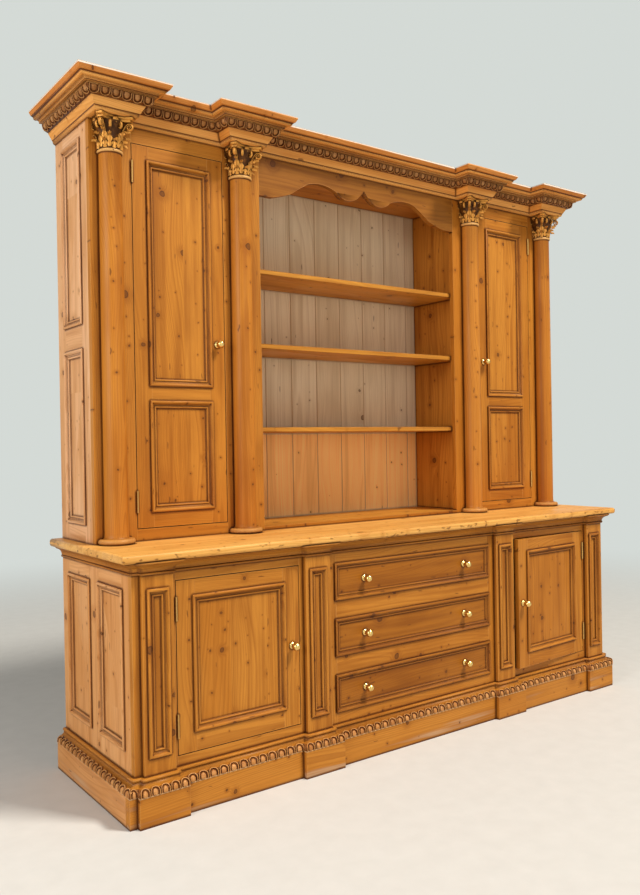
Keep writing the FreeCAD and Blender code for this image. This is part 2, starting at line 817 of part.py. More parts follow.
class Doorway:
    """Where a door hangs, and how its own measures run from its hinge pin."""

    def __init__(self, level, side):
        lower = level == "lower"
        self.name = f"{level}_{'right' if side > 0 else 'left'}_door"
        self.side = side
        self.inner, self.outer = (lower_door_inner, lower_door_outer) if lower else (upper_door_inner, upper_door_outer)
        self.foot, self.head = (lower_door_low, lower_door_high) if lower else (upper_door_low, upper_door_high)
        self.low = self.foot + size["door_gap"]
        self.high = self.head - size["door_gap"]
        self.face = base_face if lower else upper_face
        self.pin_x = (self.outer - size["door_gap"] / 2) * side
        self.pin_y = self.face - size["knuckle_radius"] - size["pin_stand_off"]
        self.near = size["door_gap"] / 2
        self.far = self.outer - self.inner - size["door_gap"] * 3 / 2
        self.hinges = (self.foot + size["hinge_rise"], self.head - size[f"{level}_hinge_drop"])
        self.knob_height = self.foot + (self.head - self.foot) * size[f"{level}_knob_share"]
        self.margin = size[f"{level}_panel_margin"]
        self.panels = lower_panels() if lower else upper_panels()
        self.ajar = size["ajar_angle"] if lower and side > 0 else None
        self.wall = Wall(-side, size["knuckle_radius"] + size["pin_stand_off"])

    def hang(self, item):
        """Set a piece made round its hinge pin into the doorway, open by its resting angle."""
        item.Placement = FreeCAD.Placement(point(0, 0, 0), FreeCAD.Rotation(point(0, 0, 1), 0))
        place(item, self.pin_x, self.pin_y, 0)
        if self.ajar:
            item.setExpression("Placement.Rotation.Angle", self.ajar.words)
        return node(item)


def lower_panels():
    return [(lower_door_low + size["lower_panel_rise"], lower_door_high - size["lower_panel_drop"])]


def upper_panels():
    low = upper_door_low + size["small_panel_rise"]
    high = upper_door_high - size["tall_panel_drop"]
    return split_span(low, high, size["door_mid_rail_tall"], size["small_panel_share"])


def make_door(doorway):
    name = doorway.name
    near, far = doorway.near, doorway.far
    frame, filling = panelled_frame(doorway.wall, name, (near, far), (doorway.low, doorway.high), size["door_thick"],
                                    [(near + doorway.margin, far - doorway.margin)], doorway.panels)
    doorway.hang(group(f"{name}_frame", [frame]))
    doorway.hang(group(f"{name}_panel", filling))
    across = (far - size["knob_inset"]) * -doorway.side
    turned_knob = knob(f"{name}_knob_turned", across, doorway.wall.face, doorway.knob_height)
    doorway.hang(group(f"{name}_knob", [turned_knob]))
    leaves = [door_leaf(doorway, number, middle) for number, middle in enumerate(doorway.hinges, start=1)]
    doorway.hang(group(f"{name}_hinge_leaves", leaves))


def hinge_levels(middle):
    """The ends of a hinge and of its middle knuckle."""
    low = middle - size["hinge_long"] / 2
    third = size["hinge_long"] / 3
    return low, low + third, low + third * 2, low + size["hinge_long"]


def leaf_pieces(doorway, name, side, levels, knuckles):
    """A flat leaf, and a neck and a knuckle for each span of knuckles, round the hinge pin."""
    start = size["knuckle_radius"] + size["running_gap"]
    leaf = (start, start + size["hinge_leaf_wide"])
    neck = ((size["pin_radius"] + size["knuckle_radius"]) / 2, start)
    across = on_side(side, doorway.near - size["hinge_leaf_thick"], doorway.near)
    pieces = [board(f"{name}_plate", across, leaf, (levels[0], levels[3]))]
    for number, span in enumerate(knuckles, start=1):
        pieces.append(board(f"{name}_neck_{number}", across, neck, span))
        pieces.append(rod(f"{name}_knuckle_{number}", size["knuckle_radius"], 0, 0, span))
    return pieces


def door_leaf(doorway, number, middle):
    name = f"{doorway.name}_leaf_{number}"
    levels = hinge_levels(middle)
    span = (levels[1] + size["running_gap"], levels[2] - size["running_gap"])
    pieces = leaf_pieces(doorway, name, -doorway.side, levels, [span])
    bore = rod(f"{name}_bore", size["pin_radius"] + size["pin_play"], 0, 0, levels[1:3])
    return cut(name, fused(f"{name}_solid", pieces), bore)


def frame_leaf(doorway, number, middle):
    name = f"{doorway.name}_frame_leaf_{number}"
    levels = hinge_levels(middle)
    pieces = leaf_pieces(doorway, name, doorway.side, levels, [levels[:2], levels[2:]])
    pieces.append(rod(f"{name}_pin", size["pin_radius"], 0, 0, (levels[0], levels[3])))
    return place(fused(name, pieces), doorway.pin_x, doorway.pin_y, 0)


def make_catches(doorways):
    """A block behind the top free corner of each door, which stops it and holds its catch."""
    blocks = []
    for doorway in doorways:
        low = doorway.head - size["catch_drop"]
        start = doorway.inner + size["catch_inset"]
        behind = doorway.face + size["frame_thick"]
        blocks.append(board(f"{doorway.name}_catch", on_side(doorway.side, start, start + size["catch_wide"]),
                            (behind, behind + size["catch_deep"]), (low, low + size["catch_tall"])))
    node(group("catch_blocks", blocks))


def make_upper_inside():
    inside = (-base_inner, base_inner)
    depth = (upper_behind, upper_back_face)
    node(board("upper_floor", inside, depth, (size["base_tall"], upper_floor_top)))
    node(board("upper_ceiling", inside, depth, (ceiling_low, cornice_low)))
    partitions = [board(f"upper_partition_{number}", span, depth, (upper_floor_top, ceiling_low))
                  for number, span in enumerate(mirrored(upper_partition_inner, upper_partition_outer), start=1)]
    node(group("upper_partitions", partitions))


def make_upper_shelves():
    """The shelves of the open bay, and one at each of their levels in both cupboards."""
    cupboard_shelves = []
    open_shelves = []
    for number, share in enumerate(OPEN_SHELF_SHARES, start=1):
        top = upper_floor_top + (ceiling_low - upper_floor_top) * share
        open_shelves.append(open_shelf(f"open_shelf_{number}", top - size["shelf_thick"], top))
        for span in mirrored(upper_partition_outer, base_inner):
            name = f"cupboard_shelf_{len(cupboard_shelves) + 1}"
            depth = (upper_behind + size["shelf_set_back"], upper_back_face)
            cupboard_shelves.append(board(name, span, depth, (top - size["shelf_thick"], top)))
    node(group("cupboard_shelves", cupboard_shelves))
    node(group("open_shelves", open_shelves))


def open_shelf(name, low, top):
    """A shelf with its front edges eased, drawn from the end."""
    ease = size["shelf_ease"]
    start = upper_behind
    rounded = ease * EASED_SHARE
    corners = [(start + ease, low), (upper_back_face, low), (upper_back_face, top),
               (start + ease, top, start + rounded, top - rounded), (start, top - ease),
               (start, low + ease, start + rounded, low + rounded)]
    return place(sawn(name, "YZ_Plane", corners, upper_partition_inner * 2), -upper_partition_inner, 0, 0)


def make_upper_back():
    """Matched boards, butted edge to edge with a chamfer along each front edge."""
    wide = size["back_board_wide"]
    number = math.ceil(-(float(base_inner) + float(size["back_joint_offset"])) / float(wide))
    edges = [-base_inner]
    while float(size["back_joint_offset"] + wide * number) < float(base_inner):
        edges.append(size["back_joint_offset"] + wide * number)
        number += 1
    boards = [back_board(f"back_board_{turn}", low, high)
              for turn, (low, high) in enumerate(zip(edges, edges[1:] + [base_inner]), start=1)]
    node(group("upper_back", boards))


def back_board(name, low, high):
    ease = size["back_joint_chamfer"]
    corners = [(low + ease, upper_back_face), (high - ease, upper_back_face), (high, upper_back_face + ease),
               (high, upper_back_rear), (low, upper_back_rear), (low, upper_back_face + ease)]
    return place(sawn(name, "XY_Plane", corners, cornice_low - size["base_tall"]), 0, 0, size["base_tall"])


def make_upper_face_frame():
    depth = (upper_face, upper_behind)
    low = size["base_tall"]
    boards = []
    for word, span in (("outer", (upper_door_outer, base_half)), ("inner", (bay_half, upper_door_inner))):
        for number, across in enumerate(mirrored(*span), start=1):
            boards.append(board(f"upper_{word}_stile_{number}", across, depth, (low, cornice_low)))
    for number, across in enumerate(mirrored(upper_door_inner, upper_door_outer), start=1):
        for word, levels in (("bottom", (low, upper_door_low)), ("top", (upper_door_high, cornice_low))):
            boards.append(board(f"upper_{word}_rail_{number}", across, depth, levels))
    boards.append(board("bay_sill", (-bay_half, bay_half), depth, (low, upper_floor_top)))
    node(group("upper_face_frame", boards))


def make_valance():
    """A board over the open bay with a scrolled lower edge."""
    low = cornice_low - size["valance_tall"]
    right = raised(scaled(VALANCE_SHARES, bay_half, size["valance_rise"]), 0, low)
    left = []
    for corner, inner in zip(right[:0:-1], right[-2::-1]):
        arc = (-inner[2], inner[3]) if len(inner) > 2 else ()
        left.append((-corner[0], corner[1]) + arc)
    top = [(bay_half, cornice_low), (-bay_half, cornice_low)]
    body = sawn("valance", "XZ_Plane", left + right + top, size["frame_thick"])
    body.Tip.Reversed = True
    node(place(body, 0, upper_face, 0))


def column_corners():
    long = capital_low - size["base_tall"]
    foot = scaled(COLUMN_FOOT_SHARES, size["column_foot_radius"], size["column_foot_tall"])
    radius = size["column_radius"]
    shaft = [(radius, size["column_foot_tall"] + size["column_sweep_tall"]), (radius, long * size["column_swell_share"])]
    ring = scaled(ASTRAGAL_SHARES, size["astragal_proud"], size["astragal_tall"])
    return foot + shaft + raised(ring, size["column_top_radius"], long - size["astragal_tall"]) + [(0, long)]


def make_columns():
    """Three-quarter columns set against the stiles."""
    columns = []
    reach = size["column_foot_radius"] * 2
    for middle in (outer_column, inner_column):
        for x in (-middle, middle):
            name = f"column_{len(columns) + 1}"
            whole = place(turned(f"{name}_turned", column_corners()), x, column_axis, size["base_tall"])
            behind = board(f"{name}_flat", (x - reach, x + reach), (upper_face, upper_face + reach),
                           (size["base_tall"], capital_low))
            columns.append(cut(name, whole, behind))
    node(group("columns", columns))


def make_capitals():
    """A leafy bell under a hollow-sided slab, with a scroll under each front corner."""
    capitals = []
    bell_tall = size["capital_tall"] - size["abacus_thick"]
    neck = size["column_top_radius"]
    leaves = raised(scaled(BELL_SHARES, size["abacus_half_wide"] - neck, bell_tall), neck, 0)
    reach = size["abacus_half_wide"] * 2
    for middle in (outer_column, inner_column):
        for x in (-middle, middle):
            name = f"capital_{len(capitals) + 1}"
            bell = place(turned(f"{name}_bell", [(0, 0)] + leaves + [(0, bell_tall)]), x, column_axis, capital_low)
            pieces = [bell, abacus(name, x)] + [volute(f"{name}_volute_{turn}", x, side)
                                                for turn, side in enumerate((-1, 1), start=1)]
            behind = board(f"{name}_flat", (x - reach, x + reach), (upper_face, upper_face + reach),
                           (capital_low, cornice_low + reach))
            capitals.append(cut(name, fused(f"{name}_carved", pieces), behind))
    node(group("capitals", capitals))


def abacus(name, x):
    corners = scaled(ABACUS_SHARES, size["abacus_half_wide"], size["abacus_proud"])
    slab = sawn(f"{name}_abacus", "XY_Plane", corners, size["abacus_thick"])
    return place(slab, x, column_axis, cornice_low - size["abacus_thick"])


def volute(name, x, side):
    """A scroll that lies across the corner of the abacus."""
    scroll = doc.addObject("Part::Cylinder", name)
    radius = size["volute_radius"]
    bind(scroll, "Radius", radius)
    bind(scroll, "Height", size["volute_long"])
    lying = FreeCAD.Rotation(point(-side, 1, 0), 90)
    scroll.Placement = FreeCAD.Placement(point(0, 0, 0), lying)
    half_run = size["volute_long"] / 2 * math.sqrt(0.5)
    level = cornice_low - size["abacus_thick"] - radius * size["volute_drop_share"]
    return place(scroll, x + (size["abacus_half_wide"] - radius) * side - half_run,
                 column_axis - size["abacus_proud"] + radius - half_run * side, level)


def cornice_breaks():
    half = size["break_wide"] / 2
    return [(middle - half, middle + half) for middle in (outer_column, inner_column)]


def make_cornice():
    """The crowning moulding, which breaks forward over each column, and the blocks behind the breaks."""
    wall = size["cornice_wall"]
    curve = scaled(CORNICE_SHARES, size["cornice_proud"], size["cornice_tall"])
    section = curve + [(-wall, size["cornice_tall"]), (-wall, 0)]
    plan = stepped_path(base_half, upper_face, back, cornice_breaks(), size["break_proud"])
    node(run_moulding("cornice", plan, cornice_low, section))
    blocks = []
    level = (cornice_low, upper_top - size["ceiling_thick"])
    for low, high in cornice_breaks():
        for span in mirrored(low + wall, high - wall):
            blocks.append(board(f"cornice_block_{len(blocks) + 1}", span, (break_face + wall, upper_face), level))
    rail = base_half - wall
    blocks.append(board("cornice_back_rail", (-rail, rail), (back - wall, back), level))
    node(group("cornice_blocks", blocks))


def check_all():
    """Stop if any object failed or any sub-part is empty or not sound."""
    for item in doc.Objects:
        if "Invalid" in item.State or "Error" in item.State:
            raise RuntimeError(f"{item.Name} failed: {item.State}")
    for item in nodes:
        if item.Shape.isNull() or not item.Shape.isValid() or not item.Shape.Solids:
            raise RuntimeError(f"{item.Label} has no sound shape")


def main():
    make_plinth()
    make_plinth_rails()
    make_base_sides()
    make_base_inside()
    make_base_face_frame()
    make_pilasters()
    make_worktop()
    make_drawer_runners()
    for number in range(DRAWERS):
        make_drawer(number)
    make_upper_sides()
    make_upper_inside()
    make_upper_shelves()
    make_upper_back()
    make_upper_face_frame()
    make_valance()
    make_columns()
    make_capitals()
    make_cornice()
    doorways = [Doorway(level, side) for level in ("lower", "upper") for side in (-1, 1)]
    for doorway in doorways:
        make_door(doorway)
    make_catches(doorways)
    frame_leaves = [frame_leaf(doorway, number, middle) for doorway in doorways
                    for number, middle in enumerate(doorway.hinges, start=1)]
    node(group("hinge_frame_leaves", frame_leaves))
    doc.recompute()
    check_all()
    os.makedirs("parts", exist_ok=True)
    for item in nodes:
        item.Shape.exportStep(f"parts/{item.Label}.step")
        print(item.Label, len(item.Shape.Solids), round(item.Shape.Volume))


main()
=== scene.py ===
"""Dresses a breakfront pine hutch with waxed pine, carved mouldings and capitals, and polished brass. Metres."""

import json
import math
import random

import bmesh
import bpy
from mathutils import Matrix, Vector

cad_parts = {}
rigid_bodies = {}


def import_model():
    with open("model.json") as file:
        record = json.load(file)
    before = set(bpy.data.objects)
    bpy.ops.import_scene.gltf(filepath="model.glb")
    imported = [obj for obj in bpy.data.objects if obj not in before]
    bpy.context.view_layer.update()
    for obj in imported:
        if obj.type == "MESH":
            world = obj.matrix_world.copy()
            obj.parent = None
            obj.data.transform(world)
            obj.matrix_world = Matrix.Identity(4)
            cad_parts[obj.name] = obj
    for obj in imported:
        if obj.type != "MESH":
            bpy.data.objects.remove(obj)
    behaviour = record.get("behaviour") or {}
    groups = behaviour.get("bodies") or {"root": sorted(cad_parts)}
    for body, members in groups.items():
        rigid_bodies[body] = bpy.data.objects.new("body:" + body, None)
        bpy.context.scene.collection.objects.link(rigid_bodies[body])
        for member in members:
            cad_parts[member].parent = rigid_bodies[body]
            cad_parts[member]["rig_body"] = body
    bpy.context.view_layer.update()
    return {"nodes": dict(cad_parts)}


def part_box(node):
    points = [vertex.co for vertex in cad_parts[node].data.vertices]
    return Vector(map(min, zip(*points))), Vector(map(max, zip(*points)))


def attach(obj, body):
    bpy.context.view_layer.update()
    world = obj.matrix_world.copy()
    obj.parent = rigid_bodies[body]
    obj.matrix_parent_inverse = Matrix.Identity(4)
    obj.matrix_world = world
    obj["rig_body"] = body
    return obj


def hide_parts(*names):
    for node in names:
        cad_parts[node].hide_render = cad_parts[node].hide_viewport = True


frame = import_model()

# places and sizes in the solids that the carving and the tints follow
BASE_HALF = 1.243
BASE_FACE = -0.29
BASE_PILASTERS = (0.514, 1.16)
PILASTER_HALF = 0.056
PILASTER_PROUD = 0.018
UPPER_FACE = 0.009
UPPER_BREAKS = (0.64, 1.171)
BREAK_HALF = 0.072
BREAK_PROUD = 0.079
BACK = 0.341
COLUMN_PLACES = (-UPPER_BREAKS[1], -UPPER_BREAKS[0], *UPPER_BREAKS)
COLUMN_AXIS = -0.008
WORKTOP_TOP = 0.872
CAPITAL_LOW = 2.255
CAPITAL_TALL = 0.109
ABACUS_LOW = 0.093
ABACUS_HALF = 0.072
LOWEST_SHELF_TOP = 1.284
SHELF_THICK = 0.02
PLINTH_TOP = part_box("plinth_front")[1].z
CORNICE_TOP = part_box("cornice")[1].z
BACK_BOARD_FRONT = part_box("upper_back")[0].y

# the door that stands ajar, and the hinge pin it turns on
AJAR_DOOR = "lower_right_door"
AJAR_PIN = Vector((1.0875, -0.294, 0))
AJAR_ANGLE = math.radians(3.2)

DOORS = [f"{level}_{side}_door" for level in ("lower", "upper") for side in ("left", "right")]
DRAWERS = (1, 2, 3)

SAME_SPOT = 1e-6
NO_TURN = Matrix.Identity(4)


# ---- shader building ----

class Nodes:
    """Adds nodes to one node tree and joins them."""

    def __init__(self, tree):
        self.tree = tree

    def put(self, socket, value):
        if isinstance(value, bpy.types.NodeSocket):
            self.tree.links.new(value, socket)
        elif socket.type == "RGBA":
            socket.default_value = (*value, 1)
        else:
            socket.default_value = value

    def add(self, kind, inputs=None, **settings):
        node = self.tree.nodes.new(kind)
        for name, value in settings.items():
            setattr(node, name, value)
        for key, value in (inputs or {}).items():
            self.put(node.inputs[key], value)
        return node

    def math(self, operation, *values):
        return self.add("ShaderNodeMath", dict(enumerate(values)), operation=operation).outputs[0]

    def times(self, first, second):
        return self.math("MULTIPLY", first, second)

    def plus(self, first, second):
        return self.math("ADD", first, second)

    def minus(self, first, second):
        return self.math("SUBTRACT", first, second)

    def larger(self, first, second):
        return self.math("MAXIMUM", first, second)

    def stretch(self, vector, scales):
        return self.add("ShaderNodeVectorMath", {0: vector, 1: scales}, operation="MULTIPLY").outputs["Vector"]

    def length(self, vector):
        return self.add("ShaderNodeVectorMath", {0: vector}, operation="LENGTH").outputs["Value"]

    def smooth(self, value, low, high, start=0.0, end=1.0):
        """Ease from start to end as value goes from low to high."""
        inputs = {"Value": value, "From Min": low, "From Max": high, "To Min": start, "To Max": end}
        return self.add("ShaderNodeMapRange", inputs, interpolation_type="SMOOTHSTEP").outputs["Result"]

    def fade(self, value, low, high, start=1.0):
        return self.smooth(value, low, high, start, 0.0)

    def colour_mix(self, factor, first, second, blend="MIX"):
        node = self.add("ShaderNodeMix", {0: factor, 6: first, 7: second}, data_type="RGBA", blend_type=blend)
        return node.outputs[2]

    def tinted(self, colour, by):
        return self.colour_mix(1.0, colour, by, "MULTIPLY")

    def overlaid(self, colour, overlay, mask, amount):
        """A colour laid over another where the mask is, as strongly as the amount; it lays stains and also painted
        shade.
        """
        return self.colour_mix(self.times(mask, amount), colour, overlay)

    def split(self, vector):
        node = self.add("ShaderNodeSeparateXYZ", {0: vector})
        return dict(zip("xyz", node.outputs))

    def joined(self, x, y, z):
        return self.add("ShaderNodeCombineXYZ", {0: x, 1: y, 2: z}).outputs[0]

    def noise(self, vector, scale, detail=2.0, roughness=0.5):
        inputs = {"Vector": vector, "Scale": scale, "Detail": detail, "Roughness": roughness}
        return self.add("ShaderNodeTexNoise", inputs).outputs["Fac"]

    def object_place(self):
        return self.add("ShaderNodeTexCoord").outputs["Object"]

    def openness(self, reach, samples, **settings):
        """1 on open faces, less in hollows no wider than the reach."""
        node = self.add("ShaderNodeAmbientOcclusion", {"Distance": reach}, samples=samples, **settings)
        return node.outputs["AO"]

    def group(self, tree, inputs):
        return self.add("ShaderNodeGroup", inputs, node_tree=tree).outputs

    def bump(self, strength, distance, height):
        inputs = {"Strength": strength, "Distance": distance, "Height": height}
        return self.add("ShaderNodeBump", inputs).outputs[0]

    def surface(self, inputs):
        """The one shader of a material."""
        shader = self.add("ShaderNodeBsdfPrincipled", inputs)
        self.add("ShaderNodeOutputMaterial", {"Surface": shader.outputs[0]})


VALUE = "NodeSocketFloat"
COLOUR = "NodeSocketColor"
VECTOR = "NodeSocketVector"


def new_group(name, inputs, outputs):
    """A node group with named sockets, and the nodes that give and take its values."""
    tree = bpy.data.node_groups.new(name, "ShaderNodeTree")
    for way, sockets in (("INPUT", inputs), ("OUTPUT", outputs)):
        for socket_name, kind in sockets:
            tree.interface.new_socket(socket_name, in_out=way, socket_type=kind)
    nodes = Nodes(tree)
    given = nodes.add("NodeGroupInput").outputs
    result = nodes.add("NodeGroupOutput").inputs
    return tree, nodes, given, result


# cells to the metre, and how far a knot reaches as shares of a cell
KNOTS = (5.2, (0.026, 0.07))
PIN_KNOTS = (15.0, (0.022, 0.062))
FLECKS = (1.0, (0.02, 0.075))

# how finely the flecks vary across and along a board
FLECK_SCALES = (27.0, 4.4, 0.0)

# how finely a pattern varies across, through and along a board
DRIFT_SCALES = (1.0, 1.0, 0.42)
WAVER_SCALES = (1.0, 1.0, 0.14)
FIBRE_SCALES = (520.0, 520.0, 16.0)
STREAK_SCALES = (34.0, 34.0, 1.3)
PATCH_SCALES = (6.0, 6.0, 2.6)
GRAIN_SCALES = (260.0, 260.0, 9.0)

# how far the pith drifts, the rings waver, knots push them aside, and knots are out of round
PITH_DRIFT = 0.24
RING_WAVER = 0.007
KNOT_PUSH = 0.012
KNOT_WOBBLE = 0.006


def make_pine_figure():
    """Growth rings, fibres and knots of a board. Place gives the way across, through and along the board."""
    tree, nodes, given, result = new_group(
        "pine_figure", [("Place", VECTOR), ("Ring Width", VALUE), ("Knots", VALUE)],
        [(name, VALUE) for name in ("Rings", "Fibre", "Knot", "Halo", "Streak", "Patch")])
    place = given["Place"]
    spot = nodes.split(place)
    wobble = nodes.times(nodes.minus(nodes.noise(place, 60.0, 0.0), 0.5), KNOT_WOBBLE)
    face = nodes.joined(nodes.plus(spot["x"], wobble), nodes.plus(spot["z"], wobble), 0.0)
    knot, outline, halo = knot_marks(nodes, face, *KNOTS, given["Knots"])
    small_share = nodes.times(given["Knots"], 0.8)
    pin, pin_outline, pin_halo = knot_marks(nodes, face, *PIN_KNOTS, small_share)
    rings = growth_rings(nodes, place, spot, halo, given["Ring Width"])
    fibre = nodes.noise(nodes.stretch(place, FIBRE_SCALES), 1.0, 1.0, 0.6)
    streak = nodes.noise(nodes.stretch(place, STREAK_SCALES), 1.0, 2.0, 0.55)
    patch = nodes.noise(nodes.stretch(place, PATCH_SCALES), 1.0, 2.0, 0.55)
    fleck = knot_marks(nodes, nodes.stretch(face, FLECK_SCALES), *FLECKS, small_share)[0]
    dark = nodes.larger(nodes.larger(nodes.times(knot, 0.68), outline),
                        nodes.times(nodes.larger(pin, pin_outline), 0.85))
    dark = nodes.larger(dark, nodes.times(fleck, 0.7))
    for name, output in (("Rings", rings), ("Fibre", fibre), ("Knot", dark),
                         ("Halo", nodes.larger(halo, pin_halo)), ("Streak", streak), ("Patch", patch)):
        nodes.put(result[name], output)
    return tree


def growth_rings(nodes, place, spot, halo, ring_width):
    """The dark late wood of rings round a drifting pith, pushed aside by the knots."""
    drift = nodes.noise(nodes.stretch(place, DRIFT_SCALES), 2.1, 1.0)
    waver = nodes.noise(nodes.stretch(place, WAVER_SCALES), 26.0, 0.0)
    across = nodes.plus(spot["x"], nodes.times(nodes.minus(drift, 0.5), PITH_DRIFT))
    from_pith = nodes.length(nodes.joined(across, spot["y"], 0.0))
    out = nodes.plus(from_pith, nodes.times(waver, RING_WAVER))
    out = nodes.plus(out, nodes.times(nodes.math("POWER", halo, 2.0), KNOT_PUSH))
    uneven = nodes.noise(nodes.joined(out, 0.0, 0.0), 22.0, 0.0)
    turns = nodes.plus(nodes.math("DIVIDE", out, ring_width), nodes.times(uneven, 4.0))
    turn = nodes.math("FRACT", turns)
    late = nodes.times(nodes.smooth(turn, 0.2, 0.85), nodes.fade(turn, 0.86, 1.0))
    strength = nodes.smooth(nodes.noise(nodes.joined(turns, 0.0, 0.0), 0.9, 0.0), 0.3, 0.7, 0.25, 1.0)
    return nodes.times(late, strength)


def knot_marks(nodes, face, cells, reach_range, share):
    """Masks of the knots scattered over a face: the heart, the dark outline and the wood that flows round them."""
    cell = nodes.add("ShaderNodeTexVoronoi", {"Vector": face, "Scale": cells}, voronoi_dimensions="2D")
    pick = nodes.split(cell.outputs["Color"])
    away = cell.outputs["Distance"]
    chosen = nodes.math("LESS_THAN", pick["x"], share)
    reach = nodes.smooth(pick["y"], 0.0, 1.0, *reach_range)
    from_rim = nodes.math("ABSOLUTE", nodes.minus(nodes.math("DIVIDE", away, reach), 0.82))
    heart = nodes.fade(away, nodes.times(reach, 0.7), reach)
    outline = nodes.fade(from_rim, 0.06, 0.3)
    halo = nodes.fade(away, nodes.times(reach, 0.8), nodes.times(reach, 4.2))
    return [nodes.times(chosen, mask) for mask in (heart, outline, halo)]


def make_wax_shade_wear_and_highlight():
    """Dark wax and painted shade in the hollows, and pale rubbed wood with painted highlight on the edges."""
    tree, nodes, given, result = new_group(
        "wax_shade_wear_and_highlight", [("Wood", COLOUR), ("Shade And Wax", COLOUR), ("Rubbed And Highlit", COLOUR), ("Openness", VALUE), ("Edge", VALUE),
                         ("Breakup", VALUE), ("Crease", VALUE)], [("Color", COLOUR)])
    # painted shade: the more closed in a hollow or crease is, the darker it turns, together with the dark wax
    hollow = nodes.larger(nodes.fade(given["Openness"], 0.4, 0.92, 0.5), nodes.fade(given["Crease"], 0.78, 0.97))
    uneven = nodes.smooth(given["Breakup"], 0.3, 0.7, 0.75, 1.0)
    soaked_and_shaded = nodes.times(nodes.times(hollow, uneven), 0.95)
    # painted highlight: the edges turn pale together with the wear
    worn_and_highlit = nodes.times(nodes.fade(given["Edge"], 0.55, 0.9), nodes.smooth(given["Breakup"], 0.35, 0.75, 0.1, 0.55))
    rubbed_and_highlit = nodes.colour_mix(worn_and_highlit, given["Wood"], given["Rubbed And Highlit"])
    nodes.put(result["Color"], nodes.colour_mix(soaked_and_shaded, rubbed_and_highlit, given["Shade And Wax"]))
    return tree


PINE_FIGURE = make_pine_figure()
WAX_SHADE_WEAR_AND_HIGHLIGHT = make_wax_shade_wear_and_highlight()

# pale, middle and deep tone of each wood; the cornice's bright tones and the sides' paler, pinker tones are lifted as
# painted light, and the valance's shaded tones are darker, partly as painted shade
GOLDEN = ((0.62, 0.255, 0.034), (0.5, 0.178, 0.016), (0.3, 0.09, 0.006))
DARKER = ((0.46, 0.168, 0.015), (0.36, 0.118, 0.008), (0.22, 0.062, 0.004))
SKY_LIT_ROSY = ((0.82, 0.435, 0.175), (0.7, 0.325, 0.105), (0.47, 0.172, 0.035))
HONEY = ((0.9, 0.52, 0.15), (0.8, 0.4, 0.085), (0.53, 0.21, 0.034))
ORANGE = ((0.63, 0.255, 0.036), (0.52, 0.182, 0.018), (0.32, 0.094, 0.007))
SUNLIT_BRIGHT = ((0.92, 0.46, 0.12), (0.85, 0.375, 0.08), (0.55, 0.195, 0.026))
SHADED = ((0.38, 0.148, 0.02), (0.3, 0.106, 0.011), (0.18, 0.054, 0.005))
SKY_LIT_PINKISH = ((0.88, 0.52, 0.28), (0.77, 0.41, 0.185), (0.52, 0.225, 0.068))
SHELVES = ((0.7, 0.325, 0.052), (0.58, 0.245, 0.03), (0.36, 0.125, 0.011))
CARVED_TAN = ((0.7, 0.35, 0.12), (0.58, 0.255, 0.068), (0.36, 0.12, 0.022))
CARVED_DARK = ((0.52, 0.265, 0.095), (0.42, 0.185, 0.05), (0.25, 0.085, 0.016))
INSIDE = ((0.62, 0.35, 0.13), (0.52, 0.265, 0.085), (0.36, 0.16, 0.045))
GREYED = ((0.89, 0.79, 0.57), (0.8, 0.685, 0.47), (0.6, 0.48, 0.3))

# dark wax and painted shade in the hollows, rubbed edges with painted highlight, knots, and how wide a rubbed edge is
HOLLOW_SHADE_AND_WAX = (0.075, 0.014, 0.002)
RUBBED_AND_HIGHLIT = (0.8, 0.42, 0.13)
KNOT = (0.085, 0.024, 0.005)
EDGE_REACH = 0.0025

# what wear, dirt and carving leave on some parts, and the painted shade, painted shadow, painted light and painted
# highlight laid on some parts
PALE_SHADE_AND_WAX = (0.52, 0.37, 0.22)
WARMING_AND_PAINTED_LIGHT = (1.42, 1.02, 0.5)
DULLING = (0.8, 0.66, 0.55)
STEP_SHADE = (0.1, 0.022, 0.003)
CORNICE_GROUND_SHADE = (0.16, 0.046, 0.007)
BARE_TOP = (0.5, 0.42, 0.32)
DUST = (0.84, 0.78, 0.68)
PLINTH_GROUND_SHADE = (0.22, 0.07, 0.012)
RUBBED_FOOT = (0.62, 0.36, 0.12)
RUBBED_RING = (0.8, 0.47, 0.16)
RING_SHADOW = (0.12, 0.035, 0.006)
SCUFF = (0.66, 0.47, 0.3)
DIRT = (0.12, 0.06, 0.025)
PALE_RIM = (0.88, 0.58, 0.3)
DENT = (0.2, 0.065, 0.012)
DULL_BRASS = (0.55, 0.36, 0.1)
TARNISH = (0.2, 0.11, 0.03)
CAPITAL_GROUND_SHADE = (0.07, 0.024, 0.004)
CAPITAL_CLOUD = (0.26, 0.09, 0.016)
GILDED_HIGHLIGHT = (0.7, 0.325, 0.062)

# heights of steps and carved bands, and of the columns' neck ring and the painted shadow line under it, above the
# worktop
CORNICE_STEPS = (2.3785, 2.4065, 2.436, 2.4525)
CORNICE_CARVED = (2.4085, 2.4295)
PLINTH_CAP_CARVED = (0.1035, 0.1225)
NECK_RING = (1.3712, 1.383)
SHADOW_UNDER_RING = (1.3665, 1.37)


def new_material(name):
    material = bpy.data.materials.new(name)
    material.use_nodes = True
    material.node_tree.nodes.clear()
    return material, Nodes(material.node_tree)


